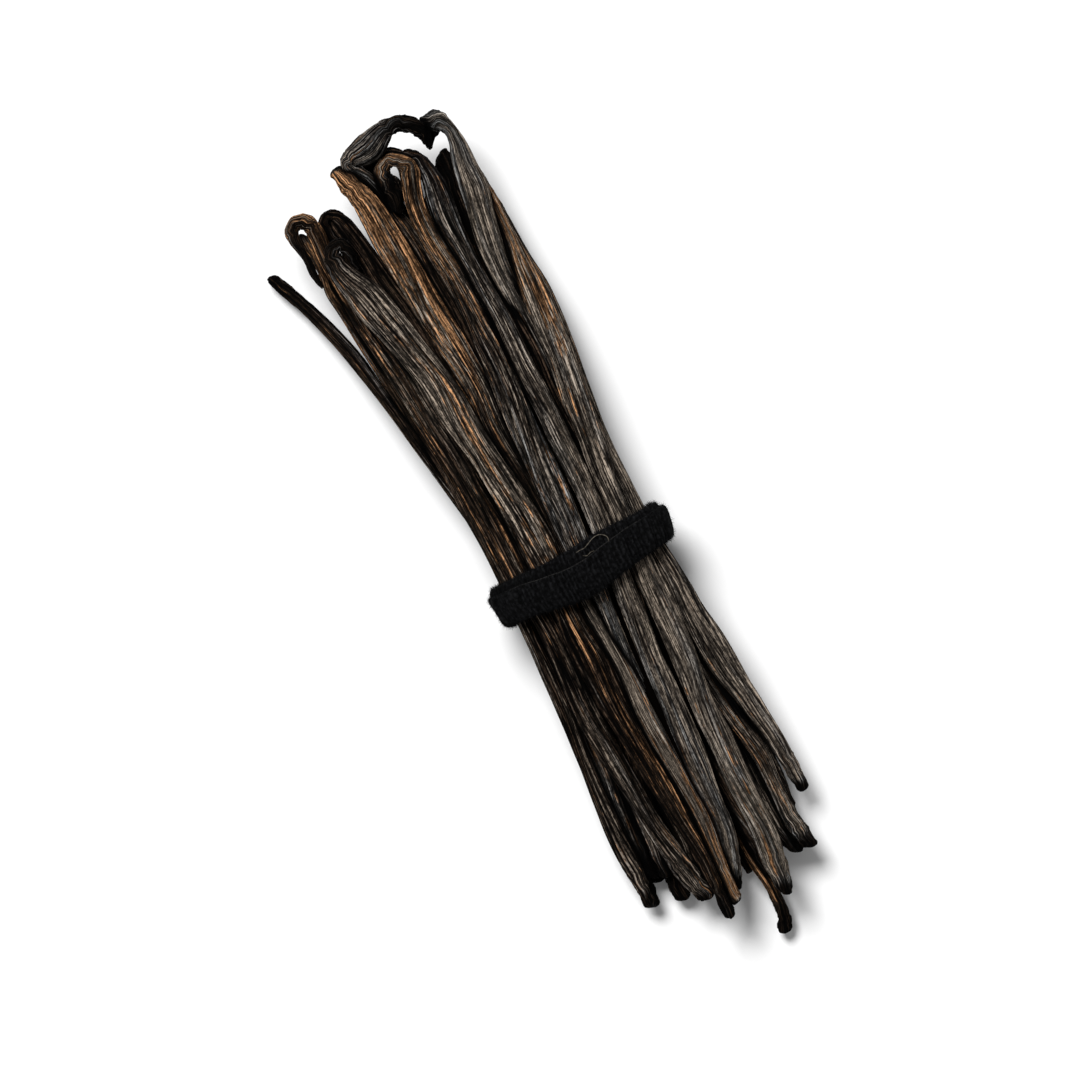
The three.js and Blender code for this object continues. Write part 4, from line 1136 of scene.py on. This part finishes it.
CORE_SIZE = (25, 108, 11)                # in millimetres
CORE_MIDDLE = (WAIST_X, 4, 11)
FLOOR_SIZE = 3.0         # half its side, in metres
LAMP_SIZE = 1.9          # across, in metres
LAMP_PLACE = (-1.3, 1.9, 3.3)            # right, up in the picture and over the table, in metres
AIM = (-9, 5, 20)        # what the camera looks at: right and up from the band, and over the table
SENSOR_WIDTH = 36        # in millimetres
CLIP_END = 20            # in metres


class BUNDLE_OT_shown_pods(bpy.types.Operator):
    """Add the pods that show from above, each a piece of its own"""

    bl_idname = "bundle.shown_pods"
    bl_label = "Shown Pods"

    def execute(self, context):
        settings = context.scene.pod_settings
        material = pod_material(settings)
        for name in SHOWN_PODS:
            mesh_in_work = new_mesh("flow", SHADES)
            add_pod(mesh_in_work, *pod_skin(name, settings.columns, settings.row_length, settings))
            finish_piece("pod_" + name, mesh_in_work, material, "pods")
        return {"FINISHED"}


class BUNDLE_OT_hidden_pods(bpy.types.Operator):
    """Add the pods underneath and inside, joined in two pieces, and the dark core"""

    bl_idname = "bundle.hidden_pods"
    bl_label = "Hidden Pods and Core"

    def execute(self, context):
        settings = context.scene.pod_settings
        material = bpy.data.materials["pod_skin"]
        for name, pods in (("pods_underside", UNDER_PODS), ("pods_inside", INNER_PODS)):
            mesh_in_work = new_mesh("flow", SHADES)
            for which, pod in enumerate(pods):
                skin = pod_skin(pod, settings.columns // 2, 1.6 * settings.row_length, settings)
                add_pod(mesh_in_work, *skin, strip=(which, len(pods)))
            finish_piece(name, mesh_in_work, material, "pods")
        self.add_core()
        return {"FINISHED"}

    def add_core(self):
        """A plain dark body inside, so that no light comes through between the pods; its near-black
        colour is painted shade.
        """
        mesh_in_work = bmesh.new()
        bmesh.ops.create_uvsphere(mesh_in_work, u_segments=32, v_segments=24, radius=0.5)
        bmesh.ops.scale(mesh_in_work, vec=Vector(CORE_SIZE) * MM, verts=mesh_in_work.verts)
        middle = (Vector(CORE_MIDDLE) + Vector(OFFSET)) * MM
        bmesh.ops.translate(mesh_in_work, vec=middle, verts=mesh_in_work.verts)
        finish_piece("core", mesh_in_work, core_material(), "pods")


class BUNDLE_OT_band(bpy.types.Operator):
    """Add the soft band: two turns of ribbon, a painted highlight line along its seam, loose thread and
    nap
    """

    bl_idname = "bundle.band"
    bl_label = "Band"

    def execute(self, context):
        settings = context.scene.band_settings
        rng = np.random.default_rng(5)
        surfaces, weaves = zip(*(ribbon_surface(turn, rng, settings) for turn in BAND_TURNS))
        mesh_in_work = new_mesh("weave")
        for which, (surface, weave) in enumerate(zip(surfaces, weaves)):
            add_ribbon(mesh_in_work, surface, weave, (which, len(surfaces)))
        cloth = cloth_material("black_ribbon", settings.cloth, settings.fibre)
        finish_piece("band", mesh_in_work, cloth, "tie")
        finish_piece("threads", thread_and_highlight_mesh(surfaces), thread_and_highlight_material(), "tie")
        nap = nap_mesh(surfaces, weaves, rng, settings)
        cloth = cloth_material("black_nap", settings.cloth, settings.fibre)
        place_piece("band_nap", nap, cloth, "tie")
        return {"FINISHED"}


class BUNDLE_OT_stage(bpy.types.Operator):
    """Add the floor, the soft light and the camera"""

    bl_idname = "bundle.stage"
    bl_label = "Stage"

    def execute(self, context):
        settings = context.scene.stage_settings
        context.scene.view_settings.view_transform = "Standard"
        self.add_floor(settings)
        self.add_light(context, settings)
        self.add_camera(context, settings)
        return {"FINISHED"}

    def add_floor(self, settings):
        """A plain pale floor."""
        mesh_in_work = bmesh.new()
        bmesh.ops.create_grid(mesh_in_work, x_segments=1, y_segments=1, size=FLOOR_SIZE)
        floor = bpy.data.objects.new("floor", made_mesh("floor", mesh_in_work))
        material, tree, shader = new_material("pale_floor")
        finish_shader(tree, shader, opaque(settings.floor), 0.9, 0.1)
        floor.data.materials.append(material)
        bpy.context.scene.collection.objects.link(floor)

    def add_light(self, context, settings):
        """One large, distant soft light from the picture's upper left, and an even sky."""
        world = bpy.data.worlds.new("even_light")
        world.use_nodes = True
        background = world.node_tree.nodes["Background"]
        background.inputs["Color"].default_value = (1, 1, 1, 1)
        background.inputs["Strength"].default_value = settings.sky
        context.scene.world = world
        lamp = bpy.data.lights.new("key", "AREA")
        lamp.shape = "DISK"
        lamp.size = LAMP_SIZE
        lamp.energy = settings.key
        key = bpy.data.objects.new("key", lamp)
        key.location = self.picture_axes(settings) @ Vector(LAMP_PLACE)
        key.rotation_mode = "QUATERNION"
        key.rotation_quaternion = key.location.to_track_quat("Z", "Y")
        context.scene.collection.objects.link(key)

    def picture_axes(self, settings):
        """The picture's right and up on the table and the way up from it, as a matrix's columns."""
        return Matrix.Rotation(-settings.turn, 3, "Z")

    def add_camera(self, context, settings):
        """A long lens that looks straight down, turned so that the bundle lies aslant."""
        axes = self.picture_axes(settings)
        lens = bpy.data.cameras.new("camera")
        lens.sensor_width = SENSOR_WIDTH
        lens.lens = lens.sensor_width * settings.distance / settings.view_width
        lens.clip_end = CLIP_END
        camera = bpy.data.objects.new("camera", lens)
        camera.rotation_mode = "QUATERNION"
        camera.rotation_quaternion = axes.to_quaternion()
        camera.location = Vector(OFFSET) * MM + axes @ Vector(AIM) * MM
        camera.location.z += settings.distance
        context.scene.collection.objects.link(camera)
        context.scene.camera = camera


class BUNDLE_PT_panel(bpy.types.Panel):
    """Builds the bundle's pieces one after another"""

    bl_label = "Vanilla Pod Bundle"
    bl_space_type = "VIEW_3D"
    bl_region_type = "UI"
    bl_category = "Vanilla Pods"

    def draw(self, context):
        for settings in SETTINGS:
            box = self.layout.box()
            group = getattr(context.scene, settings)
            for name in group.__annotations__:
                box.prop(group, name)
        for operator in OPERATORS:
            self.layout.operator(operator.bl_idname)


OPERATORS = (BUNDLE_OT_shown_pods, BUNDLE_OT_hidden_pods, BUNDLE_OT_band, BUNDLE_OT_stage)
SETTINGS = {"pod_settings": PodSettings, "band_settings": BandSettings,
            "stage_settings": StageSettings}


def register():
    """Makes the settings, operators and panel known."""
    for name, group in SETTINGS.items():
        bpy.utils.register_class(group)
        setattr(bpy.types.Scene, name, bpy.props.PointerProperty(type=group))
    for item in (*OPERATORS, BUNDLE_PT_panel):
        bpy.utils.register_class(item)


def unregister():
    """Takes them away again."""
    for item in (BUNDLE_PT_panel, *reversed(OPERATORS)):
        bpy.utils.unregister_class(item)
    for name, group in SETTINGS.items():
        delattr(bpy.types.Scene, name)
        bpy.utils.unregister_class(group)


def main():
    """Builds every piece."""
    register()
    bpy.ops.bundle.shown_pods()
    bpy.ops.bundle.hidden_pods()
    bpy.ops.bundle.band()
    bpy.ops.bundle.stage()


if __name__ == "__main__":
    main()
